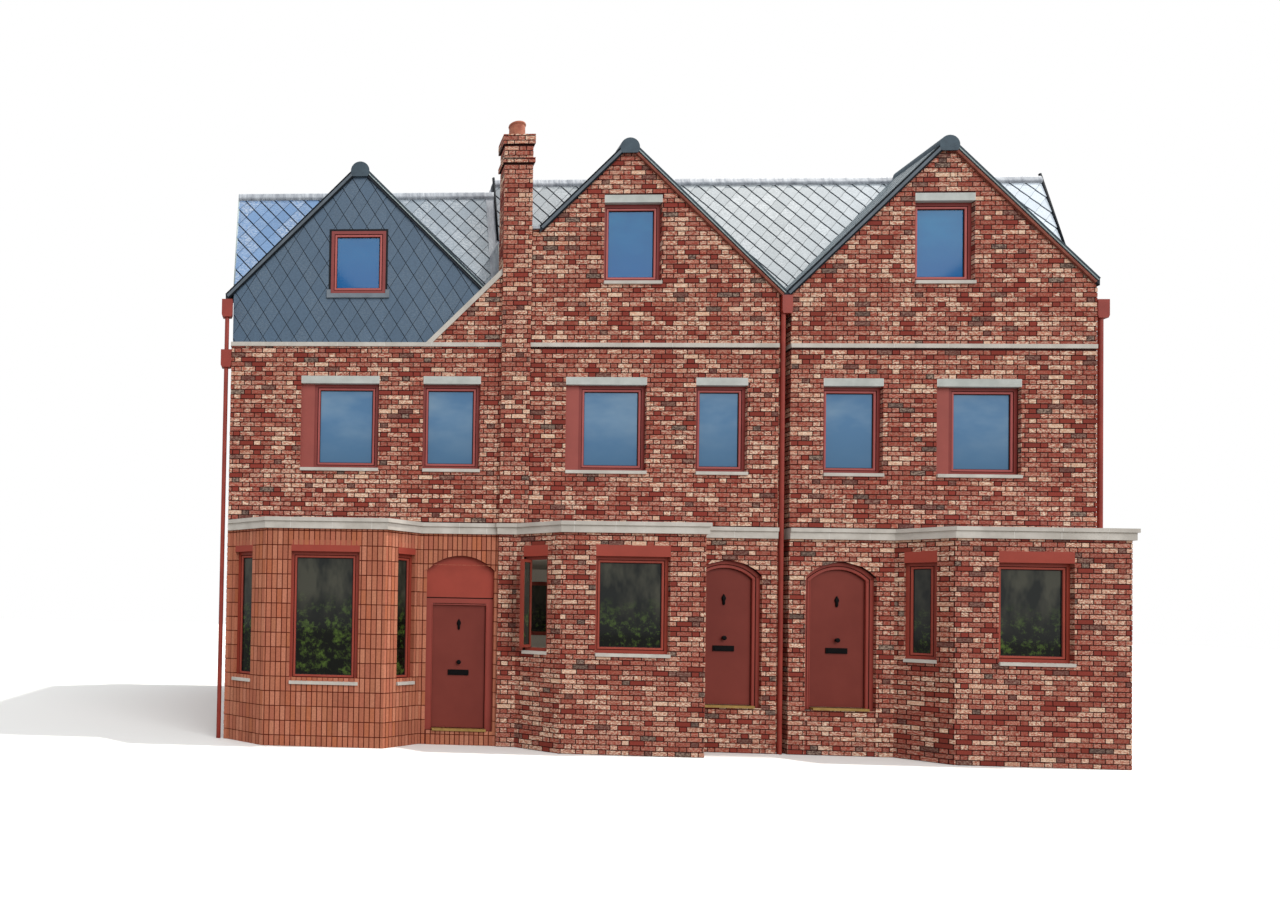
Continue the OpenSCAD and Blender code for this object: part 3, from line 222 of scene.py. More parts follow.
def layBricks(face, spansAt, zRange, bond="flemish", colours=brickColours, holes=(),
              start=0.0, footAt=None):
    # Each course is cut to the free spans at its lower and upper edge, so a brick is a
    # box whose ends may slope: corners (u, z) on the face, sunk 4 mm and a few mm proud.
    # spansAt is one fixed span, or a function of the height that gives a list of spans
    size = courseSizes[bond]
    units, joint, pitch, base = pick(size, "units joint pitch base")
    freeAt = spansAt if callable(spansAt) else lambda z: [spansAt]
    period = sum(units) + joint * len(units)
    offsets = np.cumsum([0.0] + [w + joint for w in units[:-1]])
    rows = []
    for k in range(math.floor((zRange[0] - base) / pitch),
                   math.ceil((zRange[1] - base) / pitch)):
        z0 = max(base + k * pitch + joint / 2, zRange[0])
        z1 = min(base + (k + 1) * pitch - joint / 2, zRange[1])
        if z1 - z0 < 0.012:
            continue
        low = cutSpans(freeAt(z0), holes, z0 + 0.001)
        top = cutSpans(freeAt(z1), holes, z1 - 0.001)
        if len(low) != len(top):
            mid = (z0 + z1) / 2
            low = top = cutSpans(freeAt(mid), holes, mid)
        for (a0, a1), (b0, b1) in zip(low, top):
            lo, hi = min(a0, b0), max(a1, b1)
            first = math.floor((lo - start) / period) - 1
            n = math.ceil((hi - lo) / period) + 3
            begin = (start + size["shift"] * (k % 2) + period * (first + np.arange(n)))
            u0 = (begin[:, None] + offsets[None, :]).ravel()
            u1 = u0 + np.tile(units, n)
            (u0b, u1b), (u0t, u1t) = np.clip([u0, u1], a0, a1), np.clip([u0, u1], b0, b1)
            keep = (u1b - u0b) + (u1t - u0t) > 0.022
            u1b = np.maximum(u1b, u0b + 0.002)
            u1t = np.maximum(u1t, u0t + 0.002)
            rows.append(np.stack([u0b, u1b, u1t, u0t, np.full(len(u0), z0),
                                  np.full(len(u0), z1)], 1)[keep])
    rows = np.concatenate(rows)
    n = len(rows)
    proud = size["proud"] + brickRng.uniform(-1, 1, n) * size["uneven"]
    wobble = brickRng.uniform(-1, 1, (n, 2)) * 0.0012
    z0, z1 = rows[:, 4] + wobble[:, 0], rows[:, 5] + wobble[:, 1]
    feet = [z0, z0]
    if footAt is not None:  # feet that follow a curve, as over an arch
        feet = [np.minimum(np.maximum(z0, footAt(rows[:, k])), z1 - 0.004) for k in (0, 1)]
    points = [onFace(face, rows[:, u], z, depth) for depth in (np.full(n, -0.004), proud)
              for u, z in ((0, feet[0]), (1, feet[1]), (2, z1), (3, z1))]
    verts = np.stack(points, 1).reshape(-1, 3)
    box = np.array([[4, 5, 6, 7], [1, 0, 3, 2], [0, 1, 5, 4], [1, 2, 6, 5], [2, 3, 7, 6],
                    [3, 0, 4, 7]])
    faces = (np.arange(n)[:, None, None] * 8 + box[None]).reshape(-1, 4)
    share, swing = np.array(colours["share"]), colours["swing"]
    kind = brickRng.choice(len(share), n, p=share / sum(colours["share"]))
    tint = np.array([rgb(*c) for c in colours["colours"]])[kind]
    tint = np.clip(tint * brickRng.uniform(1 - swing, 1 + swing, (n, 1))
                   * brickRng.uniform(0.97, 1.03, (n, 3)), 0, 1)
    smear = np.clip(np.array(colours["smear"])[kind] * brickRng.uniform(0.5, 1.3, n), 0, 1)
    return verts, faces, np.repeat(np.concatenate([tint, smear[:, None]], 1), 8, axis=0)


# Materials
class NodeTree:
    def __init__(self, owner):
        owner.use_nodes = True
        self.owner, self.tree = owner, owner.node_tree

    def put(self, socket, value):
        # A value that is itself a socket is linked, any other is set on the socket
        if isinstance(value, bpy.types.NodeSocket):
            self.tree.links.new(value, socket)
        else:
            socket.default_value = value

    def add(self, kind, **values):
        node = self.tree.nodes.new("ShaderNode" + kind)
        for key, value in values.items():
            if hasattr(node, key):
                setattr(node, key, value)
            else:
                self.put(node.inputs[key], value)
        return node

    def noise(self, scale, detail=4.0, stretch=(1, 1, 1), rough=0.6):
        coords = self.add("TexCoord").outputs["Object"]
        mapping = self.add("Mapping", Vector=coords, Scale=stretch)
        return self.add("TexNoise", Vector=mapping.outputs["Vector"], Scale=scale,
                        Detail=detail, Roughness=rough).outputs["Fac"]

    def ramp(self, fac, *stops):
        # A colour ramp through stops of (place, colour)
        node = self.add("ValToRGB", Fac=fac)
        elements = node.color_ramp.elements
        while len(elements) < len(stops):
            elements.new(0.5)
        for element, (place, colour) in zip(elements, stops):
            element.position, element.color = place, (*colour, 1)
        return node.outputs["Color"]

    def mix(self, kind, fac, a, b):
        node = self.add("Mix", data_type="RGBA", blend_type=kind)
        for index, value in ((0, fac), (6, a), (7, b)):
            if index and not isinstance(value, bpy.types.NodeSocket):
                value = (*value, 1)
            self.put(node.inputs[index], value)
        return node.outputs[2]

    def math(self, kind, a, b=0.0, c=0.0):
        node = self.add("Math", operation=kind)
        for socket, value in zip(node.inputs, (a, b, c)):
            self.put(socket, value)
        return node.outputs[0]

    def allOf(self, *tests):
        # Product of several (operation, value, value)
        product = self.math(*tests[0])
        for test in tests[1:]:
            product = self.math("MULTIPLY", product, self.math(*test))
        return product

    def axes(self):
        coords = self.add("TexCoord").outputs["Object"]
        return list(self.add("SeparateXYZ", Vector=coords).outputs)

    def close(self, colour, rough, specular=0.25, metallic=0.0, bump=None):
        # Colour and shine of the surface; bump is (height, strength, distance)
        values = {"Base Color": colour, "Roughness": rough, "Specular IOR Level": specular,
                  "Metallic": metallic}
        if bump:
            values["Normal"] = self.add("Bump", Height=bump[0], Strength=bump[1],
                                        Distance=bump[2]).outputs["Normal"]
        for key, value in values.items():
            self.put(self.tree.nodes["Principled BSDF"].inputs[key], value)
        return self.owner


def newMaterial(name):
    return NodeTree(bpy.data.materials.new(name))


black, white = (0, 0, 0), (1, 1, 1)
stoneStains = {"scale": 1.2, "stretch": (1, 1, 3), "amount": 0.25, "colour": (150, 140, 128)}


def variedFinish(name, dark, light, scale, rough, specular=0.5, bump=0.2, bumpScale=None,
                 distance=0.003, stains=None, stretch=(1, 1, 1), metallic=0.0):
    # Colour swings between dark and light with a noise; a finer noise is the bump
    m = newMaterial(name)
    colour = m.ramp(m.noise(scale, stretch=stretch), (0.35, rgb(*dark)), (0.65, rgb(*light)))
    if stains is not None:
        patch = m.ramp(m.noise(stains["scale"], 3.0, stains["stretch"]), (0.45, black),
                       (0.75, white))
        amount = m.math("MULTIPLY", patch, stains["amount"])
        colour = m.mix("MIX", amount, colour, rgb(*stains["colour"]))
    fine = m.noise(bumpScale or scale * 8, 6.0, stretch=stretch)
    return m.close(colour, rough, specular, metallic, (fine, bump, distance))


def tintedFinish(name, rough, grain, bump, smear=(240, 211, 186), speck=(0.76, 1.18)):
    # Colour of each piece from the mesh; the tint's fourth value lets a patchy noise lay
    # a pale smear over it, and a fine noise speckles both
    m = newMaterial(name)
    tint = m.add("Attribute", attribute_name="tint").outputs
    speckle = m.ramp(m.noise(grain, 5.0), (0.3, (speck[0],) * 3), (0.75, (speck[1],) * 3))
    patch = m.ramp(m.noise(26.0, 6.0, (1, 1, 2.2), 0.75), (0.46, black), (0.56, white))
    amount = m.math("MULTIPLY", patch, tint["Alpha"])
    colour = m.mix("MIX", amount, tint["Color"], rgb(*smear))
    colour = m.mix("MULTIPLY", 1.0, colour, speckle)
    return m.close(colour, rough, bump=(m.noise(grain * 2.2, 6.0), bump, 0.004))


def paintByHeight(name, rough, *stops):
    # Paint that changes colour with height: a ramp over z through the stops, times a faint large
    # noise
    m = newMaterial(name)
    paint = m.ramp(m.math("MULTIPLY", m.axes()[2], 0.1),
                   *[(z * 0.1, rgb(*colour)) for z, colour in stops])
    shade = m.ramp(m.noise(2.0), (0.35, (0.92,) * 3), (0.65, (1.06,) * 3))
    return m.close(m.mix("MULTIPLY", 1.0, paint, shade), rough,
                   bump=(m.noise(90.0, 5.0), 0.12, 0.001))


def masonryBody(name):
    # Mortar on the outside and in the reveals; plaster where the face looks into a room
    m = newMaterial(name)
    x, y, z = m.axes()
    normal = m.add("SeparateXYZ", Vector=m.add("NewGeometry").outputs["True Normal"])
    noise = m.noise(60.0, 5.0)
    less, more, skin = "LESS_THAN", "GREATER_THAN", plan["wallT"] - 0.01

    def shades(dark, light):
        return m.ramp(noise, (0.3, rgb(*dark)), (0.7, rgb(*light)))
    leftGround = m.allOf((less, z, corniceZ[0]), (less, x, rowX + cx0))
    mortar = m.mix("MIX", leftGround, shades((42, 18, 17), (62, 27, 24)),
                   shades((80, 26, 16), (98, 34, 22)))
    rooms = m.allOf((more, x, rowX + skin), (less, x, rowX + rowW - skin),
                    (more, y, rowY + skin), (less, y, rowY + rowD - skin))
    backs = m.allOf((less, y, rowY + 0.15), (more, normal.outputs[1], 0.3))
    inside = m.allOf(("MAXIMUM", rooms, backs), (less, z, roofTop[1]))
    colour = m.mix("MIX", inside, mortar, shades((206, 202, 194), (222, 219, 212)))
    return m.close(colour, 0.92, 0.2, bump=(noise, 0.5, 0.002))


def paintedReflectionGlass(name):
    # Painted reflections: sky blue with clouds in the gables, greyer on the first floor, dark
    # with reflected foliage and surroundings at the street
    m = newMaterial(name)
    z = m.axes()[2]

    def over(level, below, above, soft=0.02):
        rise = m.math("MULTIPLY_ADD", z, 1 / soft, -level / soft)
        rise = m.math("MINIMUM", m.math("MAXIMUM", rise, 0.0), 1.0)
        return m.mix("MIX", rise, below, above)

    def patches(noise, low, high, dark, light):
        return m.ramp(noise, (low, rgb(*dark)), (high, rgb(*light)))
    # Noises that paint the reflected clouds, foliage and dark surroundings into the glass colour
    cloudReflection = m.noise(1.1, 3.0, (1, 1, 2.0), 0.5)
    gable = over(7.5, rgb(2, 92, 153),
                 patches(cloudReflection, 0.35, 0.7, (4, 94, 149), (24, 115, 165)), 0.9)
    first = over(4.5, rgb(74, 112, 146),
                 patches(cloudReflection, 0.35, 0.7, (84, 124, 162), (120, 150, 176)), 0.7)
    foliageReflection = patches(m.noise(7.0, 8.0, rough=0.78), 0.5, 0.68, (10, 14, 10), (84, 108, 44))
    dimReflection = patches(m.noise(2.0, 3.0, (1.6, 1, 0.7)), 0.4, 0.62, (22, 26, 24), (66, 66, 56))
    return m.close(over(6.6, over(3.8, over(1.9, foliageReflection, dimReflection, 0.5), first), gable), 0.05)


finishes = {
    "brick": tintedFinish("brick face", 0.9, 60.0, 0.5),
    "terracotta": tintedFinish("terracotta face", 0.75, 45.0, 0.3, (214, 140, 112),
                               (0.84, 1.12)),
    "slateTint": tintedFinish("split slate", 0.45, 30.0, 0.3, (120, 134, 146), (0.88, 1.08)),
    # The mansards' pale slate carries a painted sky sheen in its tints and pale smears
    "paleSlateTint": tintedFinish("weathered slate", 0.42, 34.0, 0.3, (232, 236, 240),
                                  (0.88, 1.06)),
    "masonry": masonryBody("masonry body"),
    "framePaint": paintByHeight("oxide red paint", 0.45, (2.9, (148, 60, 46)),
                                (4.2, (132, 56, 50)), (7.0, (138, 60, 57))),
    "panelPaint": paintByHeight("panel paint", 0.5, (3.0, (158, 64, 50)),
                                (4.2, (154, 76, 68)), (7.0, (154, 76, 68))),
    "sashPaint": paintByHeight("sash paint", 0.4, (2.9, (160, 70, 56)),
                               (4.2, (162, 80, 77)), (7.0, (178, 90, 86))),
    "doorFrame": paintByHeight("door frame paint", 0.45, (0.0, (142, 60, 50)),
                               (3.0, (150, 66, 56))),
    "glass": paintedReflectionGlass("window glass"),
}
# Name, dark and light colour, scale of the noise, roughness; then the shine, the strength,
# scale and depth of the bump, stains, stretch and metal where they differ from the usual
stoneGrain = (3.0, 0.85, 0.25, 0.3, 130.0, 0.002, stoneStains)
vergeGrain = (6.0, 0.5, 0.3, 0.2, 60.0, 0.001)
variedFinishes = {
    # The bed under the slates is near-black, so the joints read as shadow lines: painted shade
    "slateBed": ("slate bed", (10, 18, 30), (20, 30, 44), 9.0, 0.8),
    "lead": ("sheet lead", (130, 136, 146), (176, 182, 190), 5.0, 0.55, 0.5, 0.5, 22.0,
             0.005, None, (2.4, 1, 0.5)),
    "stone": ("cast stone", (188, 182, 174), (208, 202, 194), *stoneGrain),
    "lintelStone": ("lintel stone", (178, 182, 178), (198, 202, 198), *stoneGrain),
    "screed": ("screed", (160, 156, 148), (180, 176, 168), 4.0, 0.9),
    "doorPaint": ("door paint", (112, 46, 38), (124, 54, 45), 0.9, 0.5, 0.2, 0.1, 70.0, 0.001),
    "pipePaint": ("pipe paint", (134, 48, 38), (152, 58, 46), 3.0, 0.4, 0.3, 0.1, 90.0, 0.001),
    "ridgeClay": ("ridge clay", (50, 66, 78), (64, 82, 94), 6.0, 0.55, 0.3, 0.3, 60.0, 0.002),
    # Verge trim: the pale band is a painted highlight and the grey band painted shade of the same
    # trim; the roof gap is painted shadow
    "vergeDark": ("verge trim", (28, 46, 56), (36, 56, 66), *vergeGrain),
    "vergeGrey": ("verge band", (78, 88, 98), (92, 102, 112), *vergeGrain),
    "vergePale": ("pale verge band", (150, 166, 168), (168, 182, 184), *vergeGrain),
    "vergeBed": ("verge bedding", (120, 62, 50), (146, 82, 66), 12.0, 0.9, 0.5, 0.4, 60.0),
    "roofGap": ("roof gap", (12, 17, 23), (18, 25, 32), 20.0, 0.8, 0.15),
    "apron": ("lead apron", (104, 114, 124), (120, 130, 140), 5.0, 0.6, 0.3, 0.3, 40.0, 0.002),
    "gap": ("shadow gap", (28, 12, 12), (44, 20, 18), 20.0, 0.9, 0.1),
    "gasket": ("black gasket", (14, 14, 18), (26, 26, 30), 30.0, 0.7, 0.2),
    "limeJoint": ("lime joint", (206, 202, 196), (222, 218, 212), 30.0, 0.9),
    "pot": ("pot clay", (158, 90, 72), (184, 116, 92), 9.0, 0.75, 0.25, 0.3),
    "ironmongery": ("black ironmongery", (3, 3, 4), (8, 8, 10), 20.0, 0.6, 0.1, 0.15, 120.0,
                    0.001),
    "bronze": ("bronze strip", (148, 116, 58), (174, 140, 76), 12.0, 0.45, 0.5, 0.2, 80.0,
               0.001, None, (1, 1, 1), 0.3),
}
finishes.update((key, variedFinish(*row)) for key, row in variedFinishes.items())
# Nodes of the frame by the start of their name; all others are masonry
finishNodes = {
    "slateBed": ("slate_gable", "gable_slopes", "mansard"), "ridgeClay": "ridge_tiles",
    "lead": ("roof_deck", "lead_flashings", "bay_slabs"), "panelPaint": "painted_panels",
    "stone": ("cornice", "string_courses", "stone_sills"), "lintelStone": "stone_lintels",
    "screed": ("ground_floors", "first_floors", "attic_floors"), "glass": "glass",
    "framePaint": ("window_frames", "open_casement"), "doorFrame": "door_frames",
    "doorPaint": ("door_left", "door_middle", "door_right"), "pot": "chimney_pot",
    "ironmongery": "door_fittings", "pipePaint": "rainwater_goods",
}
for name, node in nodes.items():
    found = [key for key, starts in finishNodes.items() if name.startswith(starts)]
    for slot in node.material_slots:
        slot.material = finishes[(found or ["masonry"])[0]]
print("materials on", len(nodes), "nodes")


# Brickwork
def outerY(z):
    return (z - eaves) * plan["mansardRun"]


def innerY(z):
    return outerY(z) + plan["mansardT"]


front = flatFace((0, 0, 0), (1, 0))
frameFace = flatFace((0, frameY, 0), (1, 0))
archR = (doorW * doorW / 4 + doorway["rise"] ** 2) / (2 * doorway["rise"])
archZ = springZ + doorway["rise"] - archR


def bayFace(i, k):
    a, b = np.array(bayCorners[i][k]), np.array(bayCorners[i][k + 1])
    return flatFace((*a, 0), b - a)


def gableSpan(i, x0, x1):
    # Free width under gable i's roof at level z, between the walls' edges x0 and x1
    top, middle = apex[i] - plan["slopeV"] - 0.006, gableX[i]

    def spans(z):
        left, right = max(x0, middle - (top - z)), min(x1, middle + (top - z))
        if i == 1 and z < plan["saddleZ"]:
            left = x0
        return [(left, right)] if right - left > 0.02 else []
    return spans


def arched(i, span):
    # A span less the doorway, whose head is a circle through both springings
    middle = doorway["x"][i] + doorW / 2

    def spans(z):
        half = doorW / 2
        if z > springZ:
            half = math.sqrt(max(archR * archR - (z - archZ) ** 2, 0.0))
        return cutSpans([span], [(middle - half, middle + half, -1, 99)], 0) if half else [span]
    return spans


def archFoot(i):
    # Height of the doorway's head at u: the circle over its width, far below elsewhere
    x = doorway["x"][i]

    def foot(u):
        reach = archR * archR - (u - x - doorW / 2) ** 2
        inside = np.abs(u - x - doorW / 2) < doorW / 2 + 0.001
        return np.where(inside, archZ + np.sqrt(np.maximum(reach, 0.0)), -9.0)
    return foot


stringHole, corniceHole = (-9, 99, *stringZ), (-9, 99, *corniceZ)
# Where brickwork ends or narrows below the roofs, and beside other brickwork
brickLimits = {"gableTops": (9.51, 9.5), "recessTops": (7.1, 7.09), "endTops": (9.13, 9.38),
               "endSteps": (7.235, 7.3), "chimneyFeet": (0.0, 3.51, 8.25, 0.0),
               "chimneyStep": 7.05, "chimneyReturn": 0.275, "bayReturn": 0.0814,
               "bandOut": 0.028, "bands": ((0.15, 0.0), (0.45, 0.375))}


def layFront():
    holes = [(x, x + w, *holeZ["first"]) for x, w in firstWindows]
    holes += [(a, b, *holeZ["gable"]) for a, b in gableWindows] + [stringHole]
    top, low, rakeTop = corniceZ[1], (0.0, corniceZ[0]), plan["rakeTop"]
    middleTop, rightTop = brickLimits["gableTops"]
    left = [layBricks(front, (-lap, cx0), (top, stringZ[0]), holes=holes)]
    middle = [layBricks(front, gableSpan(1, cx1, rx0), (top, middleTop), holes=holes,
                        start=0.05)]
    right = [layBricks(front, gableSpan(2, rx1, rowW + lap), (top, rightTop),
                       holes=holes, start=0.11)]
    middle.append(layBricks(front, arched(1, (bayCorners[1][3][0], rx0)), low))
    right.append(layBricks(front, arched(2, (rx1, bayCorners[2][0][0])), low))
    left.append(layBricks(front, lambda z: [(cx0 - (rakeTop - z), cx0)],
                          (stringZ[1], rakeTop - 0.03)))
    return {"front_left": left, "front_middle": middle, "front_right": right}


def layRecess():
    # The sides and the back of the recess between the middle and right house
    sideTop, backTop = brickLimits["recessTops"]
    return [layBricks(flatFace((rx1, recessD, 0), (0, -1)), (0, recessD + lap),
                      (0.0, sideTop), holes=[stringHole, corniceHole]),
            layBricks(flatFace((rx0, 0, 0), (0, 1)), (-lap, recessD), (0.0, sideTop)),
            layBricks(flatFace((rx0, recessD, 0), (1, 0)), (0, rx1 - rx0), (0.0, backTop))]


def layChimney():
    # Origin, way and length of each side, and the span that is free below a level
    (y0, y1), top, out = plan["chimneyY"], plan["chimneyTop"], brickLimits["bandOut"]
    w, d = cx1 - cx0, y1 - y0
    bands = [(top - low, top - high) for low, high in brickLimits["bands"]]
    holes = [(-9, 9, *band) for band in bands] + [(-9, 9, *corniceZ)]
    sides = [((cx0, y0, 0), (1, 0), w, corniceZ[0], (-lap, brickLimits["chimneyReturn"])),
             ((cx1, y0, 0), (0, 1), d, plan["saddleZ"] + 0.04, (-lap, -y0)),
             ((cx1, y1, 0), (-1, 0), w, -9, None),
             ((cx0, y1, 0), (0, -1), d, brickLimits["chimneyStep"], (d + y0, d + lap))]
    parts = []
    for k, (origin, along, length, level, lowSpan) in enumerate(sides):
        face = flatFace(origin, along)
        parts.append(layBricks(
            face, lambda z: [lowSpan if z < level else (-lap, length + lap)],
            (brickLimits["chimneyFeet"][k], top), holes=holes, start=0.02 * k))
        proud = flatFace(face["o"] + face["n"] * out - face["u"] * out, along)
        parts += [layBricks(proud, (-lap, length + 2 * out + lap), band, start=0.06 * k)
                  for band in bands]
    return parts


def layBay(i):
    colours = terracottaColours if i == 0 else brickColours
    bonds = ("soldier", "wideSoldier", "soldier") if i == 0 else ("flemish",) * 3
    parts = []
    for k in range(3):
        length = math.dist(bayCorners[i][k], bayCorners[i][k + 1])
        holes = [(u, u + w, *holeZ["bay"][i]) for bay, side, u, w in bayWindows
                 if (bay, side) == (i, k)]
        left = brickLimits["bayReturn"] if (i, k) == (1, 0) else 0.0 if k == 0 else -lap / 2
        right = length if k == 2 else length + lap / 2
        parts.append(layBricks(bayFace(i, k), (left, right), (0.0, corniceZ[0]), bonds[k],
                               colours, holes, start=0.03 * k))
    return parts


# Glazed openings: face, left, right, foot, head, depth of the frame's face
gableOpenings = [(front, a, b, *glazedZ["gable"], frameY) for a, b in gableWindows]
bayOpenings = [(bayFace(i, k), u, u + w, *glazedZ["bay"][i], frameY)
               for i, k, u, w in bayWindows if (i, k) != openWindow]
frontOpenings = [(front, x + (panelW if w > wideFrom else 0.0), x + w, *glazedZ["first"],
                  frameY) for x, w in firstWindows]
frontOpenings += gableOpenings + [(front, *slateWindow, slateFrameY)] + bayOpenings
rearFace = flatFace((rowW, rowD, 0), (-1, 0))
# Two windows on each storey of each house, as holes of the rear face
rearX = [a + (b - a) * share - rear["w"] / 2 for a, b in ((0, cx0), (cx1, rx0), (rx1, rowW))
         for share in rear["shares"]]
rearHoles = [(rowW - x - rear["w"], rowW - x, *z) for x in rearX for z in rear["holes"]]
rearOpenings = [(rearFace, u0, u1, z0 + rear["sill"], z1 - rear["lintel"], frameY)
                for u0, u1, z0, z1 in rearHoles]


def layJambs(openings, bond="jamb", colours=brickColours):
    # The two sides of each opening, each a narrow face that runs into the wall
    parts = []
    for face, u0, u1, z0, z1, depth in openings:
        into = -face["n"][:2]
        left = flatFace(face["o"] + face["u"] * u0, into)
        right = flatFace(face["o"] + face["u"] * u1 - face["n"] * depth, -into)
        parts += [layBricks(left, (-0.005, depth - 0.002), (z0, z1), bond, colours),
                  layBricks(right, (0.002, depth + 0.005), (z0, z1), bond, colours)]
    return parts


def layGround():
    # Soldier bricks beside the left doorway, and over it with their feet on the arch
    x, top = doorway["x"][0], corniceZ[0]
    bayEnd, shift = bayCorners[0][3][0], 0.035
    rows = [((bayEnd, x), (0.0, springZ), shift, None),
            ((x + doorW, cx0), (0.0, springZ), x + doorW + 0.0015, None),
            ((x, x + doorW), (0.0, floorZ[0]), shift, None),
            ((bayEnd, cx0), (springZ, top), shift, archFoot(0)),
            ((0.0, bayCorners[0][0][0]), (0.0, top), 0.0, None)]
    return [layBricks(front, span, z, "soldier", terracottaColours, start=start, footAt=foot)
            for span, z, start, foot in rows]


def layEnds():
    wallT, (leftStep, rightStep) = plan["wallT"], brickLimits["endSteps"]
    leftTop, rightTop = brickLimits["endTops"]

    def leftSpans(z):
        if z < eaves:
            return [(-lap, rowD + lap if z < stringZ[0] else rowD - wallT)]
        near = wallT if z < leftStep else innerY(z)
        return [(innerY(z), rowD - max(near, wallT))]

    def rightSpans(z):
        near = -lap if z < rightStep else innerY(z)
        return [(near, rowD + lap if z < eaves else rowD - innerY(z))]
    return {"end_left": [layBricks(flatFace((0, rowD, 0), (0, -1)), leftSpans,
                                   (0.0, leftTop))],
            "end_right": [layBricks(flatFace((rowW, 0, 0), (0, 1)), rightSpans,
                                    (0.0, rightTop), start=0.07)]}


jambOpenings = [(front, x, x + w, *glazedZ["first"], shallowY if w > wideFrom else frameY)
                for x, w in firstWindows] + gableOpenings + bayOpenings[3:]
jambOpenings += [(front, x, x + doorW, floorZ[1], springZ, frameY) for x in doorway["x"][1:]]
brickwork = {
    **layFront(), "recess": layRecess(), "chimney": layChimney(), "bay_middle": layBay(1),
    "bay_right": layBay(2), **layEnds(),
    "rear": [layBricks(rearFace, (-lap, rowW + lap), (0.0, eaves - 0.003), holes=rearHoles)],
    "thresholds": [layBricks(front, (x, x + doorW), (0.0, floorZ[1]), start=x + 0.04)
                   for x in doorway["x"][1:]],
    "jambs": layJambs(jambOpenings),
}
for name, parts in brickwork.items():
    addPiece("bricks_" + name, parts, "brick")
leftDoor = (front, doorway["x"][0], doorway["x"][0] + doorW, floorZ[0], springZ, shallowY)
addPiece("soldier_bricks", layBay(0) + layGround()
         + layJambs(bayOpenings[:3] + [leftDoor], "soldierJamb", terracottaColours),
         "terracotta")
print("brickwork laid")

# Slates; colours of the plates by their place along the row, where the front mansard's paling
# from blue at the left to near white at the right is painted sky reflection
slateSizes = {
    "gable": {"w": 0.255, "h": 0.40, "lift": 0.008, "joint": (0.010, 0.006), "swing": 0.05},
    "mansard": {"w": 0.252, "h": 0.315, "lift": 0.011, "joint": (0.020, 0.0045), "swing": 0.06},
    "slope": {"w": 0.3, "h": 0.42, "lift": 0.009, "joint": (0.010, 0.006), "swing": 0.06},
}
slateSizes["rearMansard"] = slateSizes["mansard"]
slateColours = {"gable": [(0.0, (78, 100, 122))], "slope": [(0.0, (116, 127, 133))],
                "mansard": [(1.9, (108, 140, 180)), (2.3, (133, 146, 159)),
                            (4.3, (145, 156, 165)), (4.6, (158, 165, 170)),
                            (9.0, (158, 166, 171)), (13.0, (206, 217, 228))],
                "rearMansard": [(0.0, (150, 160, 169))]}
# Where the slates end: at the row's ends, beside and behind the chimney, at the rear's head,
# below the lead, along the gables' edges and ridges, and round the slate window
slateLimits = {"ends": (-0.02, 13.32), "byChimney": 4.2, "behindChimney": (4.87, 8.25),
               "rearTops": (9.39, 9.14), "lead": 0.11, "edge": 0.01, "ridge": 0.16,
               "verge": 0.06, "windowHalf": 0.44, "apron": 0.06, "gableShift": 0.065,
               "phases": [(0, 0), (0.049, 0.047)] + [(0.049, 0)] * 3}
slateRng = np.random.default_rng(11)


def clipBy(poly, a, b):
    # Part of a convex polygon on the left of the line from a to b
    edge = b - a
    side = edge[0] * (poly[:, 1] - a[1]) - edge[1] * (poly[:, 0] - a[0])
    nextPoly, nextSide = np.roll(poly, -1, 0), np.roll(side, -1)
    inside, crosses = side >= 0, (side >= 0) != (nextSide >= 0)
    t = side / np.where(crosses, side - nextSide, 1.0)
    cut = poly + t[:, None] * (nextPoly - poly)
    both = np.stack([poly, cut], 1).reshape(-1, 2)
    return both[np.stack([inside, crosses], 1).ravel()]


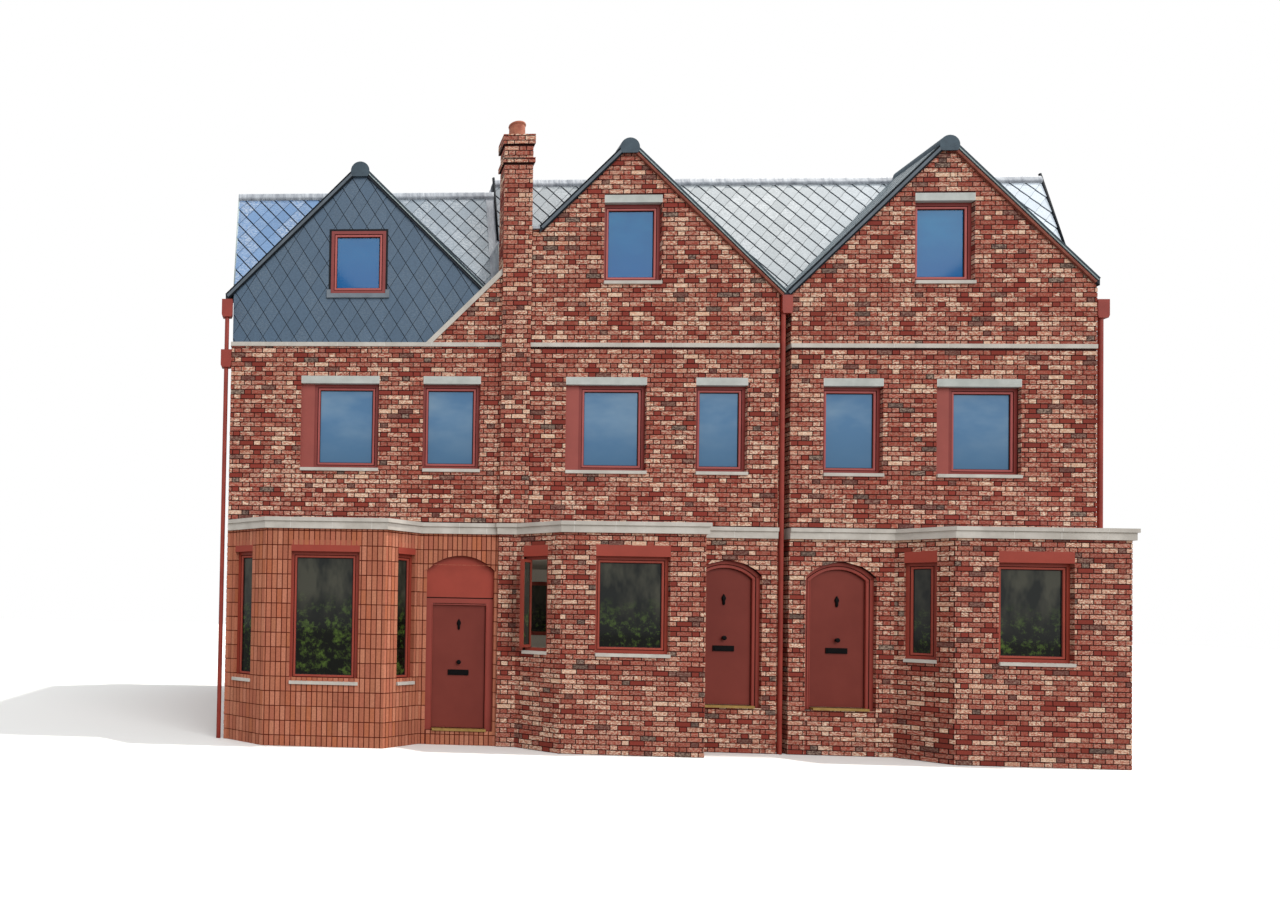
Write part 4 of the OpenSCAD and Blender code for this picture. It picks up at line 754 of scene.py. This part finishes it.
def laySlates(face, regions, kind, phases=None):
    # Rhombic plates on two families of diagonals, each cut to the region; a plate rises towards
    # its lower tip, and the joint along its lower left side is the wider one, so that the
    # near-black bed shows there as a painted shadow line
    size = slateSizes[kind]
    w, h, swing = pick(size, "w h swing")
    places, shades = zip(*slateColours[kind])
    # corners as shares of the two sides: s along lower left, t along lower right
    t0, s0 = (j * math.hypot(w / 2, h / 2) / (w * h / 2) / 2 for j in size["joint"])
    plate = np.array([[(t - s) * w / 2, (s + t - 1) * h / 2] for s, t in
                      ((s0, t0), (s0, 1 - t0), (1 - s0, 1 - t0), (1 - s0, t0))])
    verts, faces, tints, base = [], [], [], 0
    for region, phase in zip(regions, phases or [(0, 0)] * len(regions)):
        region = np.array(region, float)
        low, high = region.min(0) - phase, region.max(0) - phase
        for row in range(math.floor(low[1] / (h / 2)) - 1, math.ceil(high[1] / (h / 2)) + 2):
            for col in range(math.floor(low[0] / w) - 1, math.ceil(high[0] / w) + 2):
                c = np.array([(col + 0.5 * (row % 2)) * w, row * h / 2]) + phase
                poly = c + plate
                for p, q in zip(region, np.roll(region, -1, 0)):
                    poly = clipBy(poly, p, q)
                    if len(poly) < 3:
                        break
                if len(poly) < 3 or min(poly.max(0) - poly.min(0)) < 0.015:
                    continue
                rise = 0.003 + size["lift"] * (c[1] + h / 2 - poly[:, 1]) / h
                n = len(poly)
                verts += [onFace(face, *poly.T, np.full(n, -0.004)), onFace(face, *poly.T, rise)]
                faces.append([base + n + k for k in range(n)])
                faces.append([base + k for k in range(n - 1, -1, -1)])
                faces += [[base + k, base + (k + 1) % n, base + n + (k + 1) % n, base + n + k]
                          for k in range(n)]
                base += 2 * n
                # Tint by the plate's place along the row; on the front mansard this carries the
                # painted sky reflection
                x = verts[-1][:, 0].mean()
                tint = rgb(*[np.interp(x, places, channel) for channel in zip(*shades)])
                tint = tint * slateRng.uniform(1 - swing, 1 + swing)
                tints.append(np.tile(np.append(tint, slateRng.uniform(0.0, 0.4)), (2 * n, 1)))
    return np.concatenate(verts), faces, np.concatenate(tints)


mansardFace = flatFace((0, 0, eaves), (1, 0), (0, plan["mansardRun"], 1))
rearMansardFace = flatFace((rowW, rowD, eaves), (-1, 0), (0, -plan["mansardRun"], 1))
mansardScale = math.hypot(1, plan["mansardRun"])
slopeEnds = [(-0.13, cx0), (4.87, 8.675), (8.675, 13.31)]
partyU = rowW - partyX


def upSlope(z):
    return (z - eaves) * mansardScale


def layMansard():
    # Regions between the gables, each as (x, height) corners turned into slope lengths
    (x0, x1), wall, behind, edge = pick(slateLimits, "ends byChimney behindChimney edge")
    tops = [t - slateLimits["lead"] for t in roofTop]

    def at(i, side, top=0):
        z = tops[top]
        return gableX[i] + side * (apex[i] + edge - z), z

    def under(i, x):
        return x, apex[i] - (x - gableX[i])
    regions = [
        [(x0, apex[0] - gableX[0] - edge), at(0, -1), (x0, tops[0])],
        [at(0, 1), under(0, wall), (wall, tops[0])],
        [(partyX, behind[1]), behind, at(1, -1, 1), (partyX, tops[1])],
        [at(1, 1, 1), plan["valley"], at(2, -1, 1)],
        [at(2, 1, 2), under(2, x1), (x1, tops[2])],
    ]
    flat = [[(x, upSlope(z)) for x, z in region] for region in regions]
    return laySlates(mansardFace, flat, "mansard", slateLimits["phases"])


def laySlateGable():
    # The left gable's front round its window, above the ledge and left of the coping
    shift, half, apron = pick(slateLimits, "gableShift windowHalf apron")
    face = flatFace((gableX[0], plan["slateY"], -shift), (1, 0))
    top, foot = apex[0] - plan["slopeV"] + shift, stringZ[1] + shift
    z0, z1 = slateWindow[2] - apron + shift, slateWindow[3] + shift
    left, right, hood = -gableX[0], cx0 - gableX[0], top - half
    regions = [
        [(left, foot), (-half, foot), (-half, hood), (left, top + left)],
        [(half, foot), (right, foot), (right, top - right), (half, hood)],
        [(-half, foot), (half, foot), (half, z0), (-half, z0)],
        [(-half, z1), (half, z1), (half, hood), (0, top), (-half, hood)],
    ]
    return laySlates(face, regions, "gable")


def layGableSlopes():
    # Each slope lies along Y; v runs up the 45 degree slope from its foot
    ridge, diagonal, parts = slateLimits["ridge"], math.sqrt(2), []
    for i in range(3):
        for side, foot in zip((-1, 1), slopeEnds[i]):
            run = abs(gableX[i] - foot)
            footZ = apex[i] - run
            face = flatFace((foot, 0, footZ), (0, side, 0), (-side, 0, 1))
            reach = run * diagonal - ridge
            start = max(0.0, (eaves - footZ) * diagonal)
            backs = [outerY(footZ + v / diagonal) for v in (start, reach)]
            y0 = plan["vergeY"][i] + slateLimits["verge"]
            region = [(y0, start), (backs[0], start), (backs[1], reach), (y0, reach)]
            if side < 0:
                region = [(-y, v) for y, v in (region[1], region[0], region[3], region[2])]
            parts.append(laySlates(face, [region], "slope"))
    return parts


addPiece("slates_mansard_front", [layMansard()], "paleSlateTint")
(topA, topB), rearX0 = slateLimits["rearTops"], slateLimits["ends"][0]
rearRegions = [rectangle(rearX0, partyU, 0.0, upSlope(topA)),
               rectangle(partyU, rowW - rearX0, 0.0, upSlope(topB))]
addPiece("slates_mansard_rear", [laySlates(rearMansardFace, rearRegions, "rearMansard")],
         "paleSlateTint")
addPiece("slates_gable_front", [laySlateGable()], "slateTint")
for k, part in enumerate(layGableSlopes()):
    addPiece("slates_slope_" + str(k), [part], "slateTint")
print("slates laid")


# Roof edges: flat and raised bands beside the upper edge, as (outer, inner, height) each. The one
# trim is pale on the right verges as a painted highlight and grey on the left ones as painted
# shade, and the near-black bands are painted shadow
vergeSizes = {
    "left": {"roofGap": [(0.008, -0.018, 0.010), (-0.064, -0.090, 0.003)],
             "vergeGrey": [(-0.018, -0.064, 0.014)]},
    "right": {"vergeDark": [(0.010, -0.026, 0.010)], "vergePale": [(-0.026, -0.040, 0.014)],
              "roofGap": [(-0.040, -0.054, 0.003)]},
    "shortOfPoint": 0.11, "mansardLeft": 0.013, "mansardRight": 0.022,
    # Brick-red bedding under the right verge, on its face and below its overhang
    "beds": [rectangle(-0.0742, -0.055, -0.004, 0.003),
             rectangle(-0.089, -0.0758, -0.038, 0.003)],
}


def roundProfile(offset, height, r, sides=10):
    turn = np.arange(sides) * 2 * math.pi / sides
    return np.stack([offset + r * np.cos(turn), height + r * np.sin(turn)], 1)


def bandProfile(outer, inner, height):
    # A flat band with a small chamfer on both upper edges
    edge = min(0.003, height)
    return [(outer, -0.004), (outer, height - edge), (outer - edge, height),
            (inner + edge, height), (inner, height - edge), (inner, -0.004)]


def addVerges():
    # Each verge runs from its foot almost to the ridge; the path's left side is outwards
    trims = {}
    for i, (leftEnd, rightEnd) in enumerate([(-0.13, 4.05)] + slopeEnds[1:]):
        middle, top = gableX[i], apex[i]
        face = flatFace((0, plan["vergeY"][i], 0), (1, 0))
        for x, side in ((leftEnd, "left"), (rightEnd, "right")):
            near = middle + math.copysign(vergeSizes["shortOfPoint"], x - middle)
            path = [(x, top - abs(middle - x)), (near, top - abs(middle - near))]
            path = path[::-1] if side == "right" else path
            for finish, bands in vergeSizes[side].items():
                trims.setdefault(finish, []).extend(
                    trimAlong(face, path, bandProfile(*band)) for band in bands)
        if i:
            trims.setdefault("vergeBed", []).extend(
                trimAlong(face, path, bed) for bed in vergeSizes["beds"])
    for finish, parts in trims.items():
        addPiece("verge_" + finish, parts, finish)

    def edges(height, r, *rows):
        return [trimAlong(mansardFace, [(x, upSlope(low)), (x, upSlope(top))],
                          roundProfile(0, height, r)) for x, low, top in rows]
    # Round bars at the mansard's ends: the left one in the pale highlight finish, the right ones
    # in the near-black painted shadow finish
    addPiece("mansard_edge_left", edges(0.0, vergeSizes["mansardLeft"], (-0.015, 7.25, 9.27)),
             "vergePale", smooth=True)
    addPiece("mansard_edge_right", edges(0.006, vergeSizes["mansardRight"],
                                         (13.31, 7.4, 9.57), (4.352, 8.3, 9.57)),
             "roofGap", smooth=True)


def addSlateWindowTrim():
    # A painted shadow ring round the slate window, in the black gasket finish, and the dressed
    # lead under it
    wall = flatFace((0, plan["slateY"], 0), (1, 0))
    u0, u1, z0, z1 = slateWindow
    ring = trimAlong(wall, [(u1, z0), (u1, z1), (u0, z1), (u0, z0)],
                     rectangle(-0.034, 0.0, -0.004, 0.016))
    addPiece("slate_window_ring", [ring], "gasket")
    apron = [boxOn(wall, u0 - 0.065, u1 + 0.065, z0 - 0.068, z0 + 0.002, -0.004, 0.036)]
    apron += [boxOn(wall, a, b, z0 + 0.001, z0 + 0.064, -0.004, 0.034)
              for a, b in ((u0 - 0.065, u0 - 0.002), (u1 + 0.002, u1 + 0.065))]
    addPiece("slate_window_apron", apron, "apron")


rippleSizes = {"depth": 0.004, "waves": (9.0, 23.0, 41.0, 67.0), "step": 0.012, "out": 0.006,
               "low": 0.108, "high": 0.014, "lift": 0.018, "edgeZ": (9.2, 9.5)}
rollSizes = {"first": 0.35, "pitch": 0.63, "count": 21, "r": 0.024}
leadRng = np.random.default_rng(5)


def rippledStrip(face, u0, u1, top):
    # A dressed lead strip: a grid of (along, up) whose height is a sum of four sines of
    # random phase along it, fading to its lower edge, closed by a flat back
    low, high, out = pick(rippleSizes, "low high out")
    n = max(8, int((u1 - u0) / rippleSizes["step"]))
    u = np.linspace(u0, u1, n)
    height = sum(np.sin(u * w * 2 * math.pi / 3 + leadRng.uniform(0, 6.28)) / (k + 1.5)
                 for k, w in enumerate(rippleSizes["waves"])) * rippleSizes["depth"]
    rows = [(-low, 0.0, 0.0), (-low, out, 0.5), (-low * 0.5, out + 0.001, 1.0),
            (0.0, out, 1.0), (high, out - 0.002, 0.4), (high, -0.004, 0.0),
            (-low * 0.5, -0.004, 0.0)]
    verts = np.concatenate([onFace(face, u, np.full(n, top + v),
                                   np.maximum(d + share * height, -0.003))
                            for v, d, share in rows])
    m = len(rows)
    faces = gridFaces(m, n, closedN=False)
    faces += [[k * n for k in range(m)], [k * n + n - 1 for k in range(m - 1, -1, -1)]]
    return verts, faces


def addLeadwork():
    # Strips at the head of the mansard, between and beside the gables, and on the rear
    plane, back = (dict(face, o=face["o"] + face["n"] * rippleSizes["lift"])
                   for face in (mansardFace, rearMansardFace))

    def beside(i, side):
        return gableX[i] + side * apex[i] - side * rippleSizes["edgeZ"][i > 0]
    tops = [upSlope(z) for z in roofTop]
    spans = [(plane, -0.02, beside(0, -1), tops[0]), (plane, beside(0, 1), 4.335, tops[0]),
             (plane, 4.365, beside(1, -1), tops[1]),
             (plane, beside(1, 1), beside(2, -1), tops[1]),
             (plane, beside(2, 1), 13.31, tops[1]), (back, -0.01, partyU - 0.01, tops[1]),
             (back, partyU + 0.01, rowW + 0.01, tops[0])]
    addPiece("lead_strips", [rippledStrip(*span) for span in spans], "lead",
             smooth=True)
    # Rolls of the flat roof, half round ribs that run from front to back
    rolls = []
    for x in rollSizes["first"] + rollSizes["pitch"] * np.arange(rollSizes["count"]):
        if abs(x - partyX) < 0.1:
            continue
        z = roofTop[0] if x < partyX else roofTop[1]
        y0 = outerY(z) + 0.12
        rolls.append(trimAlong(flatFace((x, 0, z), (0, 1, 0), (-1, 0, 0)),
                               [(y0, 0), (rowD - y0, 0)], roundProfile(0, 0.006, rollSizes["r"])))
    addPiece("lead_rolls", rolls, "lead", smooth=True)


addVerges()
addSlateWindowTrim()
addLeadwork()

# Sashes, grooves and gaskets: piece, finish and profile of each ring inside an opening; the dark
# strips in the grooves are painted shadow
sashRings = [
    ("sashes_", "sashPaint", [(0.060, -0.016), (0.093, -0.016), (0.093, -0.013),
                              (0.087, -0.0065), (0.064, -0.006), (0.060, -0.009)]),
    ("sash_grooves_", "gap", rectangle(0.049, 0.060, -0.0145, -0.0125)),
    # Black gaskets at the glass: partly real gasket, partly painted shade of the sash's inner
    # edge
    ("gaskets_", "gasket", [(0.090, -0.0345), (0.103, -0.0345), (0.103, -0.030),
                            (0.090, -0.028)]),
]
for side, openings in (("front", frontOpenings), ("rear", rearOpenings)):
    for piece, finish, profile in sashRings:
        rings = [trimAlong(dict(face, o=face["o"] - face["n"] * depth),
                           rectangle(u0, u1, z0, z1), profile, True)
                 for face, u0, u1, z0, z1, depth in openings]
        addPiece(piece + side, rings, finish)

# Bands of the door frames, with dark lines of painted shadow between the bands and at the leaf;
# the square frame of the left door has only its edge and the shadow line at the leaf
doorBands = [
    ("door_bands_outer", "doorFrame", [(0.0, 0.0), (0.058, 0.0), (0.058, 0.006),
                                       (0.050, 0.012), (0.006, 0.012), (0.0, 0.008)]),
    ("door_band_lines", "gap", rectangle(0.060, 0.070, 0.0, 0.002)),
    ("door_band_edges", "doorFrame", [(0.099, 0.0), (0.113, 0.0), (0.113, 0.005),
                                      (0.106, 0.007), (0.099, 0.004)]),
    ("door_seals", "gap", rectangle(0.1155, 0.121, -0.036, -0.034)),
]


def doorPath(i, steps=24):
    # Up the right jamb, over the head and down the left, so that inwards is to the left
    x, foot = doorway["x"][i], floorZ[i]
    over = [x + doorW, x]
    head = [doorway["squareTop"]] * 2
    if i:
        over = x + doorW / 2 + doorW / 2 * np.cos(np.linspace(0, math.pi, steps + 1))
        head = archFoot(i)(over)
        head[0] = head[-1] = springZ
    return [(x + doorW, foot), *zip(over, head), (x, foot)]


for k, (name, finish, profile) in enumerate(doorBands):
    addPiece(name, [trimAlong(frameFace, doorPath(i), profile)
                    for i in range(1 if k < 2 else 0, 3)], finish)

# Pale mortar: joints of the cornice on the front and along each bay's middle side, of the
# string course, and at the ends of the lintels
jointPlaces = {"half": 0.004, "inset": 0.002, "front": (3.68, 4.11, 7.92, 9.34, 9.95),
               "bays": ((0.375, 1.015, 1.615), (0.174, 0.79, 1.2, 1.67), (0.8, 1.46, 2.1)),
               "string": (0.9, 1.7, 2.45, 3.2, 5.47, 6.16, 6.95, 7.74, 9.5, 10.3, 11.1, 11.85,
                          12.6)}


def addStoneJoints():
    half, inset, step = jointPlaces["half"], jointPlaces["inset"], plan["corniceStep"]
    places = [(front, x) for x in jointPlaces["front"]]
    places += [(bayFace(i, 1), u) for i, row in enumerate(jointPlaces["bays"]) for u in row]
    rows = []
    for face, u in places:
        rows += [(face, u, corniceZ[0], step, 0.02, 0.0412),
                 (face, u, step, corniceZ[1], 0.03, 0.0632)]
    rows += [(front, x, *stringZ, 0.01, 0.026) for x in jointPlaces["string"]]
    lintels = [(x, x + w, "first") for x, w in firstWindows]
    lintels += [(a, b, "gable") for a, b in gableWindows]
    rows += [(front, u, glazedZ[kind][1], holeZ[kind][1], 0.0, 0.0094)
             for a, b, kind in lintels for u in (a + half, b - half)]
    addPiece("stone_joints", [boxOn(face, u - half, u + half, z0 + inset, z1 - inset, d0, d1)
                              for face, u, z0, z1, d0, d1 in rows], "limeJoint")


fittingSizes = {"knocker": (0.0335, 0.0865), "plate": (0.1635, 0.087), "knob": 0.035,
                "levels": (1.68, 1.08, 0.88), "leafY": 0.106, "flapEdge": (0.02, 0.016)}


def raisedShape(face, outline, levels):
    # A closed outline lifted through levels of (share of its size, height), with both caps
    outline = np.asarray(outline, float)
    middle = outline.mean(0)
    rings = [middle + (outline - middle) * share for share, _ in levels]
    n, top = len(outline), len(levels) - 1
    verts = np.concatenate([onFace(face, *ring.T, np.full(n, d))
                            for ring, (_, d) in zip(rings, levels)])
    faces = gridFaces(top + 1, n, closedM=False)
    faces += [list(range(n - 1, -1, -1)), [top * n + j for j in range(n)]]
    return verts, faces


def addFittings():
    # Knocker: half width w * sqrt(sin(pi t)) * (0.8 + 0.2 cos(3 pi t)) at share t of its
    # height; knob: a circle widened towards its end; plate: a box with a flap
    knock, plate, (dx, dz) = pick(fittingSizes, "knocker plate flapEdge")
    high, knobZ, plateZ = fittingSizes["levels"]
    t, turn = np.linspace(0.0, 1.0, 17), np.arange(20) * 2 * math.pi / 20
    wide = knock[0] * np.sqrt(np.sin(math.pi * t).clip(0.02)) * (
        0.8 + 0.2 * np.cos(3 * math.pi * t))
    rise = high + knock[1] * (2 * t - 1)
    urn = np.concatenate([np.stack([wide, rise], 1), np.stack([-wide, rise], 1)[::-1]])
    knob = np.stack([np.cos(turn), np.sin(turn)], 1) * fittingSizes["knob"] + [0, knobZ]
    foot = plateZ - 0.0085
    top = foot + plate[1]
    shapes = [
        (urn, [(1, 0.0), (1, 0.014), (0.85, 0.022), (0.5, 0.026)]),
        (knob, [(0.7, 0.0), (0.7, 0.03), (1, 0.036), (1, 0.045), (0.6, 0.052)]),
        (rectangle(-plate[0], plate[0], foot, top), [(1, 0.0), (1, 0.013), (0.985, 0.016)]),
        (rectangle(-plate[0] + dx, plate[0] - dx, foot + dz, top - dz),
         [(1, 0.015), (1, 0.019), (0.98, 0.021)])]
    for i, body in enumerate(("left_door", "middle_door", "right_door")):
        face = flatFace((doorway["x"][i] + doorW / 2, fittingSizes["leafY"], floorZ[i]), (1, 0))
        addPiece("door_furniture_" + str(i), [raisedShape(face, *shape) for shape in shapes],
                 "ironmongery", body)


def addDoorFeet():
    # A bronze bar at the foot of each doorway, and the shadow gap under the left panel
    addPiece("threshold_bars", [
        boxOn(front, x + 0.112, x + doorW - 0.112, floor - 0.003, floor + 0.033, -0.06, 0.034)
        for x, floor in zip(doorway["x"], floorZ)], "bronze")
    x, z = doorway["x"][0], doorway["squareTop"]
    addPiece("panel_gap", [boxOn(frameFace, x + 0.002, x + doorW - 0.002, z - 0.008, z + 0.008,
                                 -0.004, 0.003)], "gap")


addStoneJoints()
addFittings()
addDoorFeet()
print("trims added")

# Stage, camera and light
stage = {"colour": (240, 240, 238), "bounce": (120, 118, 114), "reach": 90.0, "z": -0.002}
view = {"place": (-5.317, -17.404, 2.084), "yaw": 3.069, "pitch": 0.979, "roll": 1.155,
        "lens": 23.135, "shift": (0.2926, 0.1142)}
light = {"sky": 0.8, "skyColour": (0.95, 0.98, 1.0, 1), "roomColour": (1.0, 0.95, 0.9),
         "rooms": ((2.2, 2.2), (6.5, 2.4), (11.0, 2.4), (6.9, 4.9)),
         "suns": (("front_softbox", (0.3, -0.75, 0.6), 1.35, 45.0, (1.0, 0.98, 0.96)),
                  ("high_key", (0.5, 0.035, 0.866), 3.5, 2.0, (1.0, 0.96, 0.9)))}


def addObject(name, data):
    thing = bpy.data.objects.new(name, data)
    bpy.context.scene.collection.objects.link(thing)
    return thing


def addStage():
    mesh = bpy.data.meshes.new("floor")
    r = stage["reach"]
    mesh.from_pydata([(x, y, stage["z"]) for x, y in rectangle(-r, r, -r, r)], [],
                     [(0, 1, 2, 3)])
    # White to the camera, a mid grey bounce on the row, and the row's shadow on both
    m = newMaterial("floor")
    seen = m.add("LightPath").outputs["Is Camera Ray"]
    colour = m.mix("MIX", seen, rgb(*stage["bounce"]), rgb(*stage["colour"]))
    mesh.materials.append(m.close(colour, 0.9, 0.5))
    addObject("floor", mesh)


def addCamera():
    # Turned about Z, then tilted, then rolled about the line of sight along Y
    data = bpy.data.cameras.new("camera")
    data.lens, data.sensor_width, data.sensor_fit = view["lens"], 36.0, "HORIZONTAL"
    data.shift_x, data.shift_y = view["shift"]
    data.clip_end = 300.0
    matrix = mathutils.Matrix.Translation(view["place"])
    for angle, axis in ((view["yaw"], "Z"), (view["pitch"], "X"), (-view["roll"], "Y"),
                        (90.0, "X")):
        matrix = matrix @ mathutils.Matrix.Rotation(math.radians(angle), 4, axis)
    camera = addObject("camera", data)
    camera.matrix_world = matrix
    bpy.context.scene.camera = camera


def addLight():
    for name, toSun, energy, angle, colour in light["suns"]:
        data = bpy.data.lights.new(name, "SUN")
        data.energy, data.color, data.angle = energy, colour, math.radians(angle)
        lamp = addObject(name, data)
        lamp.rotation_euler = mathutils.Vector(toSun).to_track_quat("Z", "Y").to_euler()
    for x, z in light["rooms"]:
        data = bpy.data.lights.new("room_lamp", "POINT")
        data.energy, data.color, data.shadow_soft_size = 70.0, light["roomColour"], 0.25
        addObject("room_lamp", data).location = (rowX + x, rowY + 2.6, z)
    world = bpy.data.worlds.new("studio")
    bpy.context.scene.world = world
    # White to the camera, through glass and in mirror images; the soft sky lights the row
    w = NodeTree(world)
    soft, clear = w.tree.nodes["Background"], w.add("Background", Color=(1, 1, 1, 1))
    w.put(soft.inputs["Color"], light["skyColour"])
    w.put(soft.inputs["Strength"], light["sky"])
    w.put(clear.inputs["Strength"], 1.0)
    path = w.add("LightPath").outputs
    seen = w.math("MAXIMUM", path["Is Camera Ray"], path["Is Transmission Ray"])
    mix = w.add("MixShader", Fac=w.math("MAXIMUM", seen, path["Is Glossy Ray"]))
    w.put(mix.inputs[1], soft.outputs[0])
    w.put(mix.inputs[2], clear.outputs[0])
    w.put(w.tree.nodes["World Output"].inputs["Surface"], mix.outputs[0])


addStage()
addCamera()
addLight()
bpy.context.scene.view_settings.view_transform = "Standard"
